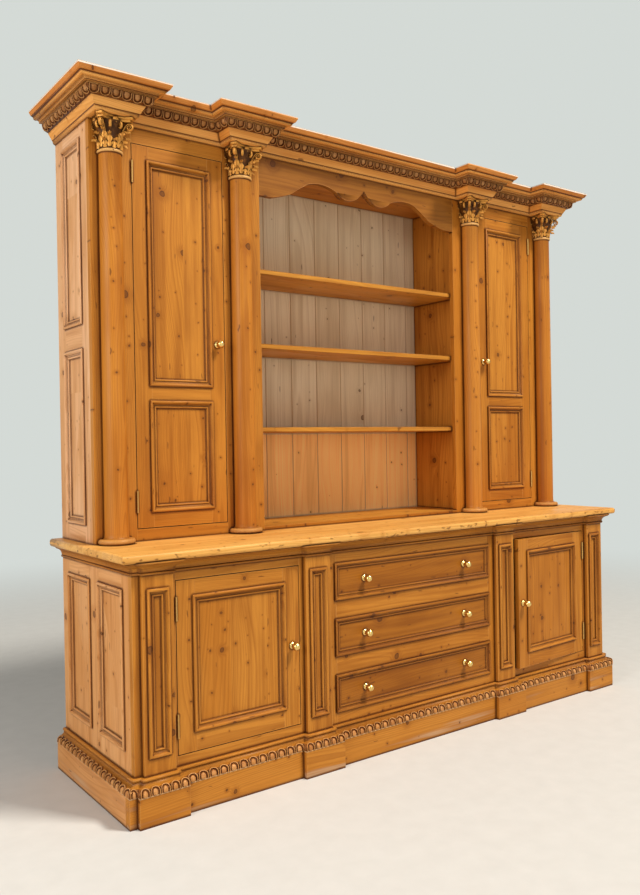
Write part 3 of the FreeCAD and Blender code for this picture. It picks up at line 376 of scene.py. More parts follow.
def pine(name, tones, slot="waxed_pine", ring=0.0065, knots=0.45, hollow_reach=0.022, tint=None, roughness=0.5,
         crease_reach=0.008, shade_and_wax=HOLLOW_SHADE_AND_WAX):
    """Waxed pine that follows each board's own length, with painted shade in its hollows and painted highlight on its
    edges.
    """
    pale, middle, deep = tones
    material, nodes = new_material(name)
    material["slot"] = slot
    place = nodes.add("ShaderNodeAttribute", attribute_name="board_place").outputs["Vector"]
    tone = nodes.add("ShaderNodeAttribute", attribute_name="board_tone").outputs["Fac"]
    marks = nodes.group(PINE_FIGURE, {"Place": place, "Ring Width": ring, "Knots": knots})
    wood = nodes.colour_mix(nodes.smooth(tone, 0.0, 1.0, 0.0, 0.75), middle, pale)
    wood = nodes.colour_mix(nodes.smooth(marks["Streak"], 0.42, 0.72, 0.0, 0.68), wood, deep)
    wood = nodes.colour_mix(nodes.fade(marks["Patch"], 0.3, 0.52, 0.45), wood, pale)
    wood = nodes.colour_mix(nodes.smooth(marks["Patch"], 0.52, 0.75, 0.0, 0.5), wood, deep)
    wood = nodes.overlaid(wood, deep, marks["Rings"], 0.52)
    wood = nodes.colour_mix(nodes.smooth(marks["Fibre"], 0.3, 0.72, 0.0, 0.2), wood, deep)
    wood = nodes.overlaid(wood, deep, marks["Halo"], 0.55)
    if tint:
        wood = tint(nodes, nodes.split(nodes.object_place()), wood, marks)
    wood = nodes.overlaid(wood, KNOT, marks["Knot"], 0.9)
    # painted shade darkens the hollows and painted highlight lightens the edges, together with the wax and the wear
    waxed = nodes.group(WAX_SHADE_WEAR_AND_HIGHLIGHT, {
        "Wood": wood, "Shade And Wax": shade_and_wax, "Rubbed And Highlit": RUBBED_AND_HIGHLIT, "Openness": nodes.openness(hollow_reach, 4),
        "Crease": nodes.openness(crease_reach, 6), "Breakup": marks["Patch"],
        "Edge": nodes.openness(EDGE_REACH, 2, inside=True, only_local=True)})
    grain = nodes.noise(nodes.stretch(place, GRAIN_SCALES), 1.0, 1.0)
    nodes.surface({
        "Base Color": waxed["Color"], "Normal": nodes.bump(0.25, 0.0006, grain), "Specular IOR Level": 0.18,
        "Roughness": nodes.smooth(marks["Patch"], 0.3, 0.7, roughness - 0.08, roughness + 0.1),
        "Coat Weight": 0.04, "Coat Roughness": 0.3})
    return material


def band(nodes, value, low, high):
    """1 between two heights."""
    soft = 0.001
    return nodes.times(nodes.smooth(value, low - soft, low), nodes.fade(value, high, high + soft))


def warmer_and_lit_low_down(nodes, spot, wood, marks):
    """The back boards under the lowest shelf have kept a warmer colour, and are brightened there as painted light."""
    shelf_foot = LOWEST_SHELF_TOP - SHELF_THICK
    low = nodes.fade(spot["z"], shelf_foot - 0.01, shelf_foot, 0.85)
    front = nodes.math("LESS_THAN", spot["y"], BACK_BOARD_FRONT + 0.004)
    return nodes.colour_mix(nodes.times(low, front), wood, nodes.tinted(wood, WARMING_AND_PAINTED_LIGHT))


def lines(nodes, value, heights, half):
    """1 on thin level lines."""
    marked = 0.0
    for height in heights:
        away = nodes.math("ABSOLUTE", nodes.minus(value, height))
        marked = nodes.larger(marked, nodes.fade(away, half, half + 0.0008))
    return marked


def cornice_tint(nodes, spot, wood, marks):
    """Dull top moulding, painted shade in the steps, dark wax and painted shade on the ground behind the carving, and
    pale dust on the top edge.
    """
    z = spot["z"]
    moulding = nodes.smooth(z, CORNICE_STEPS[-1] - 0.0005, CORNICE_STEPS[-1] + 0.001)
    wood = nodes.colour_mix(moulding, wood, nodes.tinted(wood, DULLING))
    # painted shade: dark lines along the steps, and a dark band on the ground behind the carving
    wood = nodes.overlaid(wood, STEP_SHADE, lines(nodes, z, CORNICE_STEPS, 0.0012), 0.9)
    wood = nodes.overlaid(wood, CORNICE_GROUND_SHADE, band(nodes, z, *CORNICE_CARVED), 0.8)
    bare = nodes.times(nodes.smooth(z, CORNICE_TOP - 0.001, CORNICE_TOP - 0.0005), 0.6)
    wood = nodes.colour_mix(bare, wood, BARE_TOP)
    ragged = nodes.plus(z, nodes.smooth(marks["Streak"], 0.3, 0.7, -0.003, 0.002))
    dusty = nodes.smooth(ragged, CORNICE_TOP - 0.006, CORNICE_TOP - 0.0035, 0.0, 0.9)
    return nodes.overlaid(wood, DUST, dusty, nodes.fade(bare, 0.0, 0.1))


def plinth_cap_tint(nodes, spot, wood, marks):
    """Dark wax and painted shade on the ground behind the carving."""
    return nodes.overlaid(wood, PLINTH_GROUND_SHADE, band(nodes, spot["z"], *PLINTH_CAP_CARVED), 0.7)


def pale_foot_and_ring_shadow(nodes, spot, wood, marks):
    """The turned feet and neck rings of the columns are worn pale, with a line of painted shadow under the neck ring.
    """
    height = nodes.minus(spot["z"], WORKTOP_TOP)
    wood = nodes.colour_mix(nodes.fade(height, 0.018, 0.022, 0.4), wood, RUBBED_FOOT)
    wood = nodes.overlaid(wood, RUBBED_RING, band(nodes, height, *NECK_RING), 0.75)
    # painted shadow: a dark line under the neck ring
    return nodes.overlaid(wood, RING_SHADOW, band(nodes, height, *SHADOW_UNDER_RING), 0.8)


def scuffed_low_down(nodes, spot, wood, marks):
    """Pale scuffs, a dirty foot and a pale rim along the plinth."""
    low = nodes.smooth(spot["z"], 0.0, 0.09, 0.6, 0.1)
    wood = nodes.overlaid(wood, SCUFF, nodes.smooth(marks["Streak"], 0.55, 0.7), low)
    wood = nodes.colour_mix(nodes.fade(spot["z"], 0.0, 0.012, 0.75), wood, DIRT)
    rim = nodes.smooth(spot["z"], PLINTH_TOP - 0.0035, PLINTH_TOP - 0.0025, 0.0, 0.8)
    return nodes.colour_mix(rim, wood, PALE_RIM)


# how finely the dents vary along, across and down the worktop
DENT_SCALES = (34.0, 34.0, 70.0)


def dented_edge(nodes, spot, wood, marks):
    """Small dark dents along the worktop's front edge."""
    dents = nodes.smooth(nodes.noise(nodes.stretch(nodes.object_place(), DENT_SCALES), 1.0, 2.0), 0.6, 0.68)
    edge = nodes.fade(spot["z"], WORKTOP_TOP - 0.01, WORKTOP_TOP - 0.004, 0.75)
    return nodes.overlaid(wood, DENT, dents, edge)


def brass(name, slot, tone, roughness):
    """Polished brass, a little duller where it is handled less."""
    material, nodes = new_material(name)
    material["slot"] = slot
    coords = nodes.object_place()
    cloud = nodes.noise(coords, 90.0, 3.0)
    fine = nodes.noise(coords, 900.0, 2.0)
    tarnish = nodes.fade(nodes.openness(0.008, 8), 0.3, 0.9, 0.75)
    colour = nodes.colour_mix(nodes.smooth(cloud, 0.4, 0.7, 0.0, 0.35), tone, DULL_BRASS)
    nodes.surface({
        "Base Color": nodes.colour_mix(tarnish, colour, TARNISH), "Metallic": 1.0,
        "Roughness": nodes.smooth(cloud, 0.3, 0.7, roughness, roughness + 0.14),
        "Normal": nodes.bump(0.08, 0.0002, fine)})
    return material


# the capital's bell: its plain radius, the height where it starts to flare, and how fast it does
BELL_RADIUS = 0.0402
FLARE_LOW = 0.035
FLARE = 5.8


def above_the_bell(nodes, spot):
    """0 on the ground of a capital, 1 on the leaves that stand out from it."""
    inner, outer = UPPER_BREAKS
    from_pair = nodes.math("ABSOLUTE", nodes.minus(nodes.math("ABSOLUTE", spot["x"]), (outer + inner) / 2))
    aside = nodes.minus(from_pair, (outer - inner) / 2)
    ahead = nodes.minus(spot["y"], COLUMN_AXIS)
    out = nodes.length(nodes.joined(aside, ahead, 0.0))
    up = nodes.minus(nodes.math("MINIMUM", spot["z"], CAPITAL_LOW + ABACUS_LOW), CAPITAL_LOW + FLARE_LOW)
    flared = nodes.math("POWER", nodes.larger(up, 0.0), 2.0)
    bell = nodes.plus(BELL_RADIUS, nodes.times(flared, FLARE))
    proud = nodes.smooth(nodes.minus(out, bell), 0.0008, 0.0024)
    return nodes.larger(proud, nodes.math("GREATER_THAN", spot["z"], CAPITAL_LOW + ABACUS_LOW))


def carved_pine(name):
    """Carved pine, near black as painted shade on its closed-in ground, with gold rubbed over its high places that is
    partly gilding and partly painted highlight.
    """
    material, nodes = new_material(name)
    material["slot"] = "carved_pine"
    coords = nodes.object_place()
    cloud = nodes.noise(coords, 70.0, 3.0)
    # painted highlight on the open, proud carving, and painted shade on the ground between
    raised_and_highlit = nodes.times(nodes.smooth(nodes.openness(0.014, 12), 0.42, 0.85),
                         above_the_bell(nodes, nodes.split(coords)))
    colour = nodes.colour_mix(raised_and_highlit, CAPITAL_GROUND_SHADE, GILDED_HIGHLIGHT)
    nodes.surface({
        "Base Color": nodes.colour_mix(nodes.smooth(cloud, 0.45, 0.75, 0.0, 0.6), colour, CAPITAL_CLOUD),
        "Metallic": nodes.times(raised_and_highlit, 0.2), "Roughness": 0.38, "Specular IOR Level": 0.15,
        "Normal": nodes.bump(0.3, 0.0008, cloud)})
    return material


# what several parts share
KNOB_BRASS = brass("polished_brass", "brass", (0.83, 0.58, 0.2), 0.13)
HINGE_BRASS = brass("hinge_brass", "hinge_brass", (0.62, 0.38, 0.12), 0.42)
CARVED_PINE = carved_pine("carved_pine")
PLINTH_PINE = pine("plinth_pine", GOLDEN, tint=scuffed_low_down)
INSIDE_PINE = pine("inside_pine", INSIDE, "inside_pine", roughness=0.6)
PLINTH_CARVING = pine("plinth_carving", CARVED_TAN, knots=0.0, hollow_reach=0.009, crease_reach=0.006)
CORNICE_CARVING = pine("cornice_carving", CARVED_DARK, knots=0.0, hollow_reach=0.009, crease_reach=0.006)


# ---- boards ----

def boards_of(bm):
    """The separate boards of a mesh, each as a list of its faces."""
    left = dict.fromkeys(bm.faces)
    while left:
        board = []
        waiting = [left.popitem()[0]]
        while waiting:
            face = waiting.pop()
            board.append(face)
            for edge in face.edges:
                if len(edge.link_faces) == 2:
                    for near in edge.link_faces:
                        if near in left:
                            del left[near]
                            waiting.append(near)
        yield board


def extent(corners):
    """Low corner, high corner and size, and the axes from the thinnest way to the longest."""
    low, high = (Vector([pick(corner[axis] for corner in corners) for axis in range(3)]) for pick in (min, max))
    size = high - low
    return low, high, size, sorted(range(3), key=lambda axis: size[axis])


# a mitred ring has an open middle, so little of it faces front and back, and it isn't slim
RING_FACING_SHARE = 1.6
RING_WIDTH_SHARE = 0.12

# where a board was sawn from its tree: aside of the pith, out from it, and along the trunk
SAWN_ASIDE = (-0.05, 0.05)
SAWN_OUT = (0.015, 0.09)
SAWN_ALONG = (0, 40)


def mark_boards(bm, mitred=False, plank=None):
    """Give every face corner its place in its own board, and every board a tone of its own."""
    places = bm.loops.layers.float_vector.new("board_place")
    tones = bm.loops.layers.float.new("board_tone")
    for board in boards_of(bm):
        low, high, size, (thin, wide, long) = extent([vert.co for face in board for vert in face.verts])
        facing = sum(face.calc_area() * abs(face.normal[thin]) for face in board)
        ring = (mitred and facing < RING_FACING_SHARE * size[wide] * size[long]
                and size[wide] > RING_WIDTH_SHARE * size[long])
        for face in board:
            middle = face.calc_center_median()
            across, along = wide, long
            if ring and runs_the_short_way(face.normal, middle, low, high, wide, long):
                across, along = long, wide
            strip, centre = 0, (low[across] + high[across]) / 2
            if plank and not ring:
                strip = int((middle[across] - low[across]) / plank)
                centre = low[across] + plank * (strip + 0.5)
            luck = random.Random(f"{low.x:.3f} {low.y:.3f} {low.z:.3f} {along} {strip}")
            shift = Vector([luck.uniform(*limits) for limits in (SAWN_ASIDE, SAWN_OUT, SAWN_ALONG)])
            tone = luck.random()
            for loop in face.loops:
                co = loop.vert.co
                loop[places] = shift + Vector((co[across] - centre, co[thin] - low[thin], co[along]))
                loop[tones] = tone


def runs_the_short_way(normal, middle, low, high, wide, long):
    """Whether this face of a mitred moulding belongs to a length that runs along its shorter side."""
    if max(abs(normal[wide]), abs(normal[long])) > 0.05:
        return abs(normal[wide]) < abs(normal[long])
    from_side = min(middle[wide] - low[wide], high[wide] - middle[wide])
    from_end = min(middle[long] - low[long], high[long] - middle[long])
    return from_end < from_side


def saw(bm, place, normal, **how):
    return bmesh.ops.bisect_plane(bm, geom=bm.verts[:] + bm.edges[:] + bm.faces[:], plane_co=place, plane_no=normal,
                                  **how)


def saw_into_planks(bm, plank):
    """Cut lines along a wide board where its planks are glued together."""
    low, _, size, (_, wide, _) = extent([vert.co for vert in bm.verts])
    normal = Vector((0, 0, 0))
    normal[wide] = 1
    for number in range(1, math.ceil(size[wide] / plank)):
        spot = low.copy()
        spot[wide] += plank * number
        saw(bm, spot, normal, dist=SAME_SPOT)


# where an edge of a board stays sharp, and how wide its broad faces are
BOARD_SHARP_ANGLE = math.radians(28)
BROAD = 0.012


def dress(node, material, mitred=False, plank=None):
    """Stand a copy of the node in its place, with every board's figure marked on it."""
    solid = frame["nodes"][node]
    bm = bmesh.new()
    bm.from_mesh(solid.data)
    bmesh.ops.remove_doubles(bm, verts=bm.verts, dist=SAME_SPOT)
    ajar = node.startswith(AJAR_DOOR)
    if ajar:
        turn_door(bm, -AJAR_ANGLE)
    if plank:
        saw_into_planks(bm, plank)
    mark_boards(bm, mitred, plank)
    if ajar:
        turn_door(bm, AJAR_ANGLE)
    piece = add_piece(f"{node}_dressed", bm, material, solid["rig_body"], [node])
    piece.data.set_sharp_from_angle(angle=BOARD_SHARP_ANGLE)
    flatten_broad_faces(piece.data)


def flatten_broad_faces(mesh):
    """Broad flat faces keep their own direction right up to their edges."""
    spots = [vert.co for vert in mesh.vertices]
    for face in mesh.polygons:
        longest = max((spots[start] - spots[end]).length for start, end in face.edge_keys)
        face.use_smooth = 2 * face.area < BROAD * longest


def turn_door(bm, angle):
    bmesh.ops.rotate(bm, verts=bm.verts, cent=AJAR_PIN, matrix=Matrix.Rotation(angle, 3, "Z"))


def link(name, data):
    thing = bpy.data.objects.new(name, data)
    bpy.context.scene.collection.objects.link(thing)
    return thing


def add_piece(name, bm, material, body, replaced=()):
    """Turn a built mesh into a piece that rides on its body."""
    for face in bm.faces:
        face.smooth = True
    mesh = bpy.data.meshes.new(name)
    bm.to_mesh(mesh)
    bm.free()
    mesh.materials.append(material)
    piece = link(name, mesh)
    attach(piece, body)
    if replaced:
        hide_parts(*replaced)
    return piece


def dress_each(nodes, material, **cut):
    for node in nodes:
        dress(node, material, **cut)


def dress_fronts_and_shelves():
    dress_each(("plinth_blocks", "plinth_front"), PLINTH_PINE)
    # painted shade: the valance's darker tones are partly darker wood and partly painted shade
    dress("valance", pine("valance_pine", SHADED))
    dress_each(("base_face_frame", "upper_face_frame", "base_partitions", "upper_partitions", "upper_ceiling",
                "cornice_blocks", "base_bottom"), pine("golden_pine", GOLDEN))
    dress("pilasters", pine("pilaster_pine", GOLDEN, knots=0.3), mitred=True)
    dress_each(("open_shelves", "upper_floor"), pine("shelf_pine", SHELVES), plank=0.15)


def dress_sides():
    # painted light: the sides are paler and pinker than the front, as if lit by the sky
    sky_lit_rosy = pine("sky_lit_rosy_pine", SKY_LIT_ROSY, knots=0.4)
    sky_lit_pinkish = pine("sky_lit_pinkish_pine", SKY_LIT_PINKISH, knots=0.4)
    dress("base_sides", sky_lit_rosy)
    dress("upper_sides", sky_lit_pinkish)
    dress("plinth_ends", pine("sky_lit_plinth_end_pine", SKY_LIT_ROSY, tint=scuffed_low_down))
    dress("base_side_panels", sky_lit_rosy, mitred=True, plank=0.12)
    dress("upper_side_panels", sky_lit_pinkish, mitred=True, plank=0.12)


def dress_mouldings():
    fine = {"knots": 0.1, "hollow_reach": 0.012}
    dress("plinth_cap", pine("plinth_cap_pine", GOLDEN, tint=plinth_cap_tint, **fine), mitred=True)
    dress("worktop_moulding", pine("moulding_pine", GOLDEN, **fine), mitred=True)
    # painted light: the cornice's bright tones stand for sunlight falling on it
    dress("cornice", pine("sunlit_cornice_pine", SUNLIT_BRIGHT, knots=0.25, hollow_reach=0.014, tint=cornice_tint), mitred=True)


def dress_worktop():
    honey = pine("worktop_pine", HONEY, "worktop_pine", knots=0.5, roughness=0.44, tint=dented_edge)
    dress("worktop", honey, plank=0.17)


def dress_backs():
    # painted light brightens the boards low down, and painted shade with the pale wax darkens their hollows
    greyed = pine("back_board_pine", GREYED, "back_board_pine", ring=0.009, knots=0.14, tint=warmer_and_lit_low_down,
                  roughness=0.62, shade_and_wax=PALE_SHADE_AND_WAX)
    dress("upper_back", greyed)
    dress("base_back", pine("plain_back_pine", INSIDE, "back_board_pine", roughness=0.62), plank=0.14)


def dress_hidden_parts():
    dress_each(("plinth_rails", "base_shelves", "cupboard_shelves", "drawer_runners", "catch_blocks"), INSIDE_PINE)
    dress_metal("hinge_frame_leaves")


def dress_metal(node):
    frame["nodes"][node].material_slots[0].material = HINGE_BRASS


def dress_doors():
    frame_pine = pine("door_frame_pine", GOLDEN)
    panel_pine = pine("door_panel_pine", GOLDEN, ring=0.0085, knots=0.6)
    for door in DOORS:
        dress(f"{door}_frame", frame_pine)
        dress(f"{door}_panel", panel_pine, mitred=True, plank=0.15)
        dress_metal(f"{door}_hinge_leaves")


def dress_drawers():
    drawer_pine = pine("drawer_pine", DARKER, knots=0.5)
    for number in DRAWERS:
        dress(f"drawer_{number}_front", drawer_pine, mitred=True)
        dress(f"drawer_{number}_box", INSIDE_PINE)


# ---- making new pieces ----

def finish_new(name, bm, material, body, replaced=(), sharp=None):
    """Close and mark a newly built mesh, and stand it in its place. Sharp is in degrees."""
    bmesh.ops.remove_doubles(bm, verts=bm.verts, dist=SAME_SPOT)
    bmesh.ops.recalc_face_normals(bm, faces=bm.faces)
    mark_boards(bm)
    piece = add_piece(name, bm, material, body, replaced)
    if sharp:
        piece.data.set_sharp_from_angle(angle=math.radians(sharp))
    return piece


def spun(profile, steps):
    """A closed turned shape round Z from (radius, height) pairs that start and end on the axis."""
    bm = bmesh.new()
    spots = [bm.verts.new((radius, 0, height)) for radius, height in profile]
    edges = [bm.edges.new(pair) for pair in zip(spots, spots[1:])]
    bmesh.ops.spin(bm, geom=spots + edges, cent=(0, 0, 0), axis=(0, 0, 1), dvec=(0, 0, 0), angle=math.tau,
                   steps=steps, use_merge=True)
    bmesh.ops.remove_doubles(bm, verts=bm.verts, dist=SAME_SPOT)
    return bm


def add_copy(target, source, matrix):
    """Put a copy of one built mesh into another at a place."""
    mesh = bpy.data.meshes.new("copy")
    source.to_mesh(mesh)
    mesh.transform(matrix)
    target.from_mesh(mesh)
    bpy.data.meshes.remove(mesh)


def add_shape(target, shape, places):
    """Use up a shape by copying it to each place."""
    for place in places:
        add_copy(target, shape, place)
    shape.free()


def turned(count, first):
    """Even turns round Z, from a first one in degrees."""
    return [Matrix.Rotation(math.radians(first + 360 / count * step), 4, "Z") for step in range(count)]


# radius and reach of the turned knob, from the back of its rose
KNOB_PROFILE = (
    (0, 0), (0.0125, 0), (0.0135, 0.0008), (0.0135, 0.0022), (0.0122, 0.003), (0.0116, 0.0042), (0.0088, 0.005),
    (0.008, 0.0066), (0.0072, 0.009), (0.007, 0.0122), (0.0078, 0.014), (0.0108, 0.0166), (0.014, 0.0206),
    (0.015, 0.025), (0.0146, 0.029), (0.0132, 0.033), (0.0112, 0.0358), (0.0104, 0.0362), (0.0098, 0.0372),
    (0.007, 0.0392), (0.0036, 0.0406), (0, 0.041),
)
KNOB_RADIUS = max(radius for radius, reach in KNOB_PROFILE)


def knob_shape():
    bm = spun(KNOB_PROFILE, 32)
    bmesh.ops.rotate(bm, verts=bm.verts, cent=(0, 0, 0), matrix=Matrix.Rotation(math.pi / 2, 3, "X"))
    return bm


def make_drawer_knobs():
    for number in DRAWERS:
        node = f"drawer_{number}_knobs"
        low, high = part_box(node)
        places = [Matrix.Translation((x, high.y, (low.z + high.z) / 2))
                  for x in (low.x + KNOB_RADIUS, high.x - KNOB_RADIUS)]
        bm = bmesh.new()
        add_shape(bm, knob_shape(), places)
        finish_new(f"drawer_{number}_turned_knobs", bm, KNOB_BRASS, f"drawer_{number}", [node])


def door_knob_place(door):
    """Where the back of a shut door's knob stands."""
    low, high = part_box(f"{door}_knob")
    return Vector(((low.x + high.x) / 2, high.y, (low.z + high.z) / 2))


def ajar_knob_place():
    """The left door's knob mirrored, and turned with the door."""
    shut = door_knob_place("lower_left_door")
    shut = Vector((-shut.x, shut.y, door_knob_place(AJAR_DOOR).z))
    return (Matrix.Translation(AJAR_PIN) @ Matrix.Rotation(AJAR_ANGLE, 4, "Z")
            @ Matrix.Translation(-AJAR_PIN) @ Matrix.Translation(shut))


def make_door_knobs():
    for door in DOORS:
        place = ajar_knob_place() if door == AJAR_DOOR else Matrix.Translation(door_knob_place(door))
        bm = bmesh.new()
        add_shape(bm, knob_shape(), [place])
        finish_new(f"{door}_turned_knob", bm, KNOB_BRASS, door, [f"{door}_knob"])


# radius and height of a column above the worktop
COLUMN_PROFILE = (
    (0, 0), (0.059, 0), (0.0622, 0.0016), (0.0642, 0.0052), (0.065, 0.01), (0.064, 0.015), (0.0612, 0.0188),
    (0.057, 0.02), (0.048, 0.0203), (0.0452, 0.0216), (0.0434, 0.025), (0.0424, 0.031), (0.042, 0.04),
    (0.042, 0.456), (0.0416, 0.8), (0.0408, 1.1), (0.04, 1.368), (0.0412, 1.3695), (0.0448, 1.3718),
    (0.046, 1.3755), (0.0448, 1.3792), (0.0412, 1.3815), (0.04, 1.383), (0, 1.383),
)


def on_every_column(shape, height):
    """Four copies of a shape, each sawn flat where it would reach into its stile."""
    bm = bmesh.new()
    add_shape(bm, shape, [Matrix.Translation((x, COLUMN_AXIS, height)) for x in COLUMN_PLACES])
    sawn = saw(bm, (0, UPPER_FACE, 0), (0, 1, 0), dist=1e-7, clear_outer=True)
    edges = [item for item in sawn["geom_cut"] if isinstance(item, bmesh.types.BMEdge)]
    bmesh.ops.holes_fill(bm, edges=edges)
    return bm


def make_columns():
    wood = pine("column_pine", ORANGE, knots=0.5, tint=pale_foot_and_ring_shadow)
    finish_new("turned_columns", on_every_column(spun(COLUMN_PROFILE, 48), WORKTOP_TOP), wood, "carcass",
               ["columns"], sharp=40)


# ---- capitals ----

# radius and height of the bell under the leaves
BELL_PROFILE = (
    (0, 0), (0.0395, 0), (0.04, 0.03), (0.0425, 0.052), (0.048, 0.072), (0.056, 0.086), (0.06, 0.092),
    (0, 0.092),
)

# shares of a leaf's height where its tip starts to curl, and where it narrows to its point
CURL_SHARE = 0.62
POINT_SHARE = 0.78
CURL_TURN = math.radians(165)
LEAF_FOOT_RADIUS = 0.043
LEAF_THICK = 0.0022


def leaf_shape(tall, half_wide, curl, foot, lean):
    """One carved leaf standing on the bell, its tip curled outwards. It looks along X."""
    bm = bmesh.new()
    bmesh.ops.create_grid(bm, x_segments=10, y_segments=18, size=1.0)
    for vert in bm.verts:
        side, up = vert.co.x, (vert.co.y + 1) / 2
        lobes = 1 - 0.52 * abs(math.cos(math.pi * 2.6 * up + 0.9)) ** 3 * min(1, 3 * (1 - up))
        spread = half_wide * (0.52 + 0.58 * math.sin(math.pi * min(1, up * 1.25))) * lobes
        if up > POINT_SHARE:
            spread *= math.sqrt(max(0.0, 1 - ((up - POINT_SHARE) / 0.225) ** 2))
        rib = 0.002 * max(0, 1 - abs(side) * 4) + 0.001 * math.cos(side * math.pi * 2.6) * up
        turn = max(0.0, up - CURL_SHARE) / (1 - CURL_SHARE) * CURL_TURN
        out = LEAF_FOOT_RADIUS + lean * up + rib + curl * (1 - math.cos(turn)) / 1.6 - 0.0015 * side ** 2
        height = foot + min(up, CURL_SHARE) * tall + curl * math.sin(turn)
        angle = side * spread / out
        vert.co = (out * math.cos(angle), out * math.sin(angle), height)
    bmesh.ops.recalc_face_normals(bm, faces=bm.faces)
    bmesh.ops.solidify(bm, geom=bm.faces, thickness=LEAF_THICK)
    return bm


SCROLL_MIDDLE = Vector((0.0745, 0.077))
SCROLL_RADIUS = 0.0135
SCROLL_STEPS = 27
SCROLL_HALF_WIDE = 0.0052


def scroll_path():
    """Reach, height and thickness along a stem that rises and rolls up."""
    path = [(0.043 + 0.02 * step ** 1.6, 0.046 + 0.04 * step, 0.0024 + 0.0012 * step)
            for step in (0, 0.2, 0.4, 0.6, 0.8)]
    for step in range(SCROLL_STEPS):
        angle = math.radians(130 - step * 24)
        radius = SCROLL_RADIUS * (1 - step / (SCROLL_STEPS + 4))
        spot = SCROLL_MIDDLE + radius * Vector((math.cos(angle), math.sin(angle)))
        path.append((spot.x, spot.y, 0.0036 - step * 0.00006))
    return path


def scroll_shape():
    """A stem that rises along X and rolls up into a scroll under a corner of the abacus."""
    path = scroll_path()
    bm = bmesh.new()
    ring = bmesh.ops.create_circle(bm, cap_ends=True, segments=8, radius=1.0)["verts"]
    tip = bm.faces[:][0]
    places = []
    for index, (x, z, thick) in enumerate(path):
        before, after = path[max(0, index - 1)], path[min(len(path) - 1, index + 1)]
        slope = math.atan2(after[1] - before[1], after[0] - before[0])
        places.append(Matrix.Translation((x, 0, z)) @ Matrix.Rotation(math.pi / 2 - slope, 4, "Y")
                      @ Matrix.Diagonal((thick, SCROLL_HALF_WIDE, thick, 1)))
    bmesh.ops.transform(bm, matrix=places[0], verts=ring)
    for before, after in zip(places, places[1:]):
        grown = bmesh.ops.extrude_face_region(bm, geom=[tip])["geom"]
        tip = next(item for item in grown if isinstance(item, bmesh.types.BMFace))
        bmesh.ops.transform(bm, matrix=after @ before.inverted(), verts=tip.verts[:])
    bmesh.ops.recalc_face_normals(bm, faces=bm.faces)
    return bm


# shares of the abacus's half width: its cut corners, its hollow sides and its smaller foot
ABACUS_CORNER = 0.22
ABACUS_HOLLOW = 0.24
ABACUS_FOOT_SHARE = 0.9


def abacus_shape():
    """The hollow-sided slab on top of a capital, moulded in two steps."""
    bm = bmesh.new()
    bmesh.ops.create_cube(bm, size=2.0)
    upright = [edge for edge in bm.edges if abs(edge.verts[0].co.z - edge.verts[1].co.z) > 1]
    bmesh.ops.bevel(bm, geom=upright, offset=ABACUS_CORNER, offset_type="OFFSET", affect="EDGES", segments=1,
                    profile=0.5, material=-1)
    level = [edge for edge in bm.edges if edge.calc_length() > 1.2
             and abs(edge.verts[0].co.z - edge.verts[1].co.z) < SAME_SPOT]
    bmesh.ops.subdivide_edges(bm, edges=level, cuts=9, use_grid_fill=True)
    for step in (-0.1, 0.15):
        saw(bm, (0, 0, step), (0, 0, 1))
    half_tall = (CAPITAL_TALL - ABACUS_LOW) / 2
    for vert in bm.verts:
        x, y, z = vert.co
        hollow_x, hollow_y = (1 - ABACUS_HOLLOW * (1 - min(1, abs(aside) / 0.8) ** 2) for aside in (y, x))
        reach = ABACUS_FOOT_SHARE if z < 0 else 1.0
        vert.co = (x * hollow_x * reach * ABACUS_HALF, y * hollow_y * reach * ABACUS_HALF,
                   ABACUS_LOW + half_tall * (z + 1))
    return bm


FLOWER_RADIUS = 0.0125
FLOWER_PROUD = 0.007
FLOWER_PLACE = (ABACUS_HALF * 0.77, 0, 0.0965)


def flower_shape():
    """The small flower at the middle of an abacus side. It looks along X."""
    bm = bmesh.new()
    bmesh.ops.create_uvsphere(bm, u_segments=20, v_segments=10, radius=1.0)
    for vert in bm.verts:
        around = math.atan2(vert.co.y, vert.co.x)
        from_axis = math.hypot(vert.co.x, vert.co.y)
        petals = 1 - 0.22 * abs(math.sin(2.5 * around)) * from_axis
        height = 0.55 * vert.co.z + 0.55 * max(0, 0.35 - from_axis)
        vert.co = (height * FLOWER_PROUD, vert.co.x * petals * FLOWER_RADIUS, vert.co.y * petals * FLOWER_RADIUS)
    bmesh.ops.recalc_face_normals(bm, faces=bm.faces)
    return bm


# height, half width, curl, foot and lean of each ring of leaves
HIGH_LEAVES = (0.06, 0.0098, 0.008, 0.004, 0.006)
LOW_LEAVES = (0.036, 0.0098, 0.006, 0.0, 0.003)
CORNER_LEAVES = (0.072, 0.0105, 0.0085, 0.01, 0.01)

# the scrolls on both sides of a corner one are slimmer and start higher
SLIM_SCROLL_LIFT = (0, 0, 0.004)
SLIM_SCROLL_SIZE = (0.72, 0.9, 0.98, 1)


def capital_shape():
    """A leafy capital standing on the origin."""
    bm = spun(BELL_PROFILE, 32)
    add_shape(bm, abacus_shape(), [NO_TURN])
    add_shape(bm, leaf_shape(*HIGH_LEAVES), turned(8, -67.5))
    add_shape(bm, leaf_shape(*LOW_LEAVES), turned(8, -90))
    add_shape(bm, leaf_shape(*CORNER_LEAVES), turned(4, 45))
    add_shape(bm, scroll_shape(), turned(4, 45))
    slim = Matrix.Translation(SLIM_SCROLL_LIFT) @ Matrix.Diagonal(SLIM_SCROLL_SIZE)
    beside = [turn for pair in zip(turned(4, -20), turned(4, 20)) for turn in pair]
    add_shape(bm, scroll_shape(), [turn @ slim for turn in beside])
    ahead = Matrix.Translation(FLOWER_PLACE)
    add_shape(bm, flower_shape(), [side @ ahead for side in turned(4, 0)])
    return bm


def make_capitals():
    finish_new("carved_capitals", on_every_column(capital_shape(), CAPITAL_LOW), CARVED_PINE, "carcass",
               ["capitals"], sharp=50)


# ---- egg and dart ----

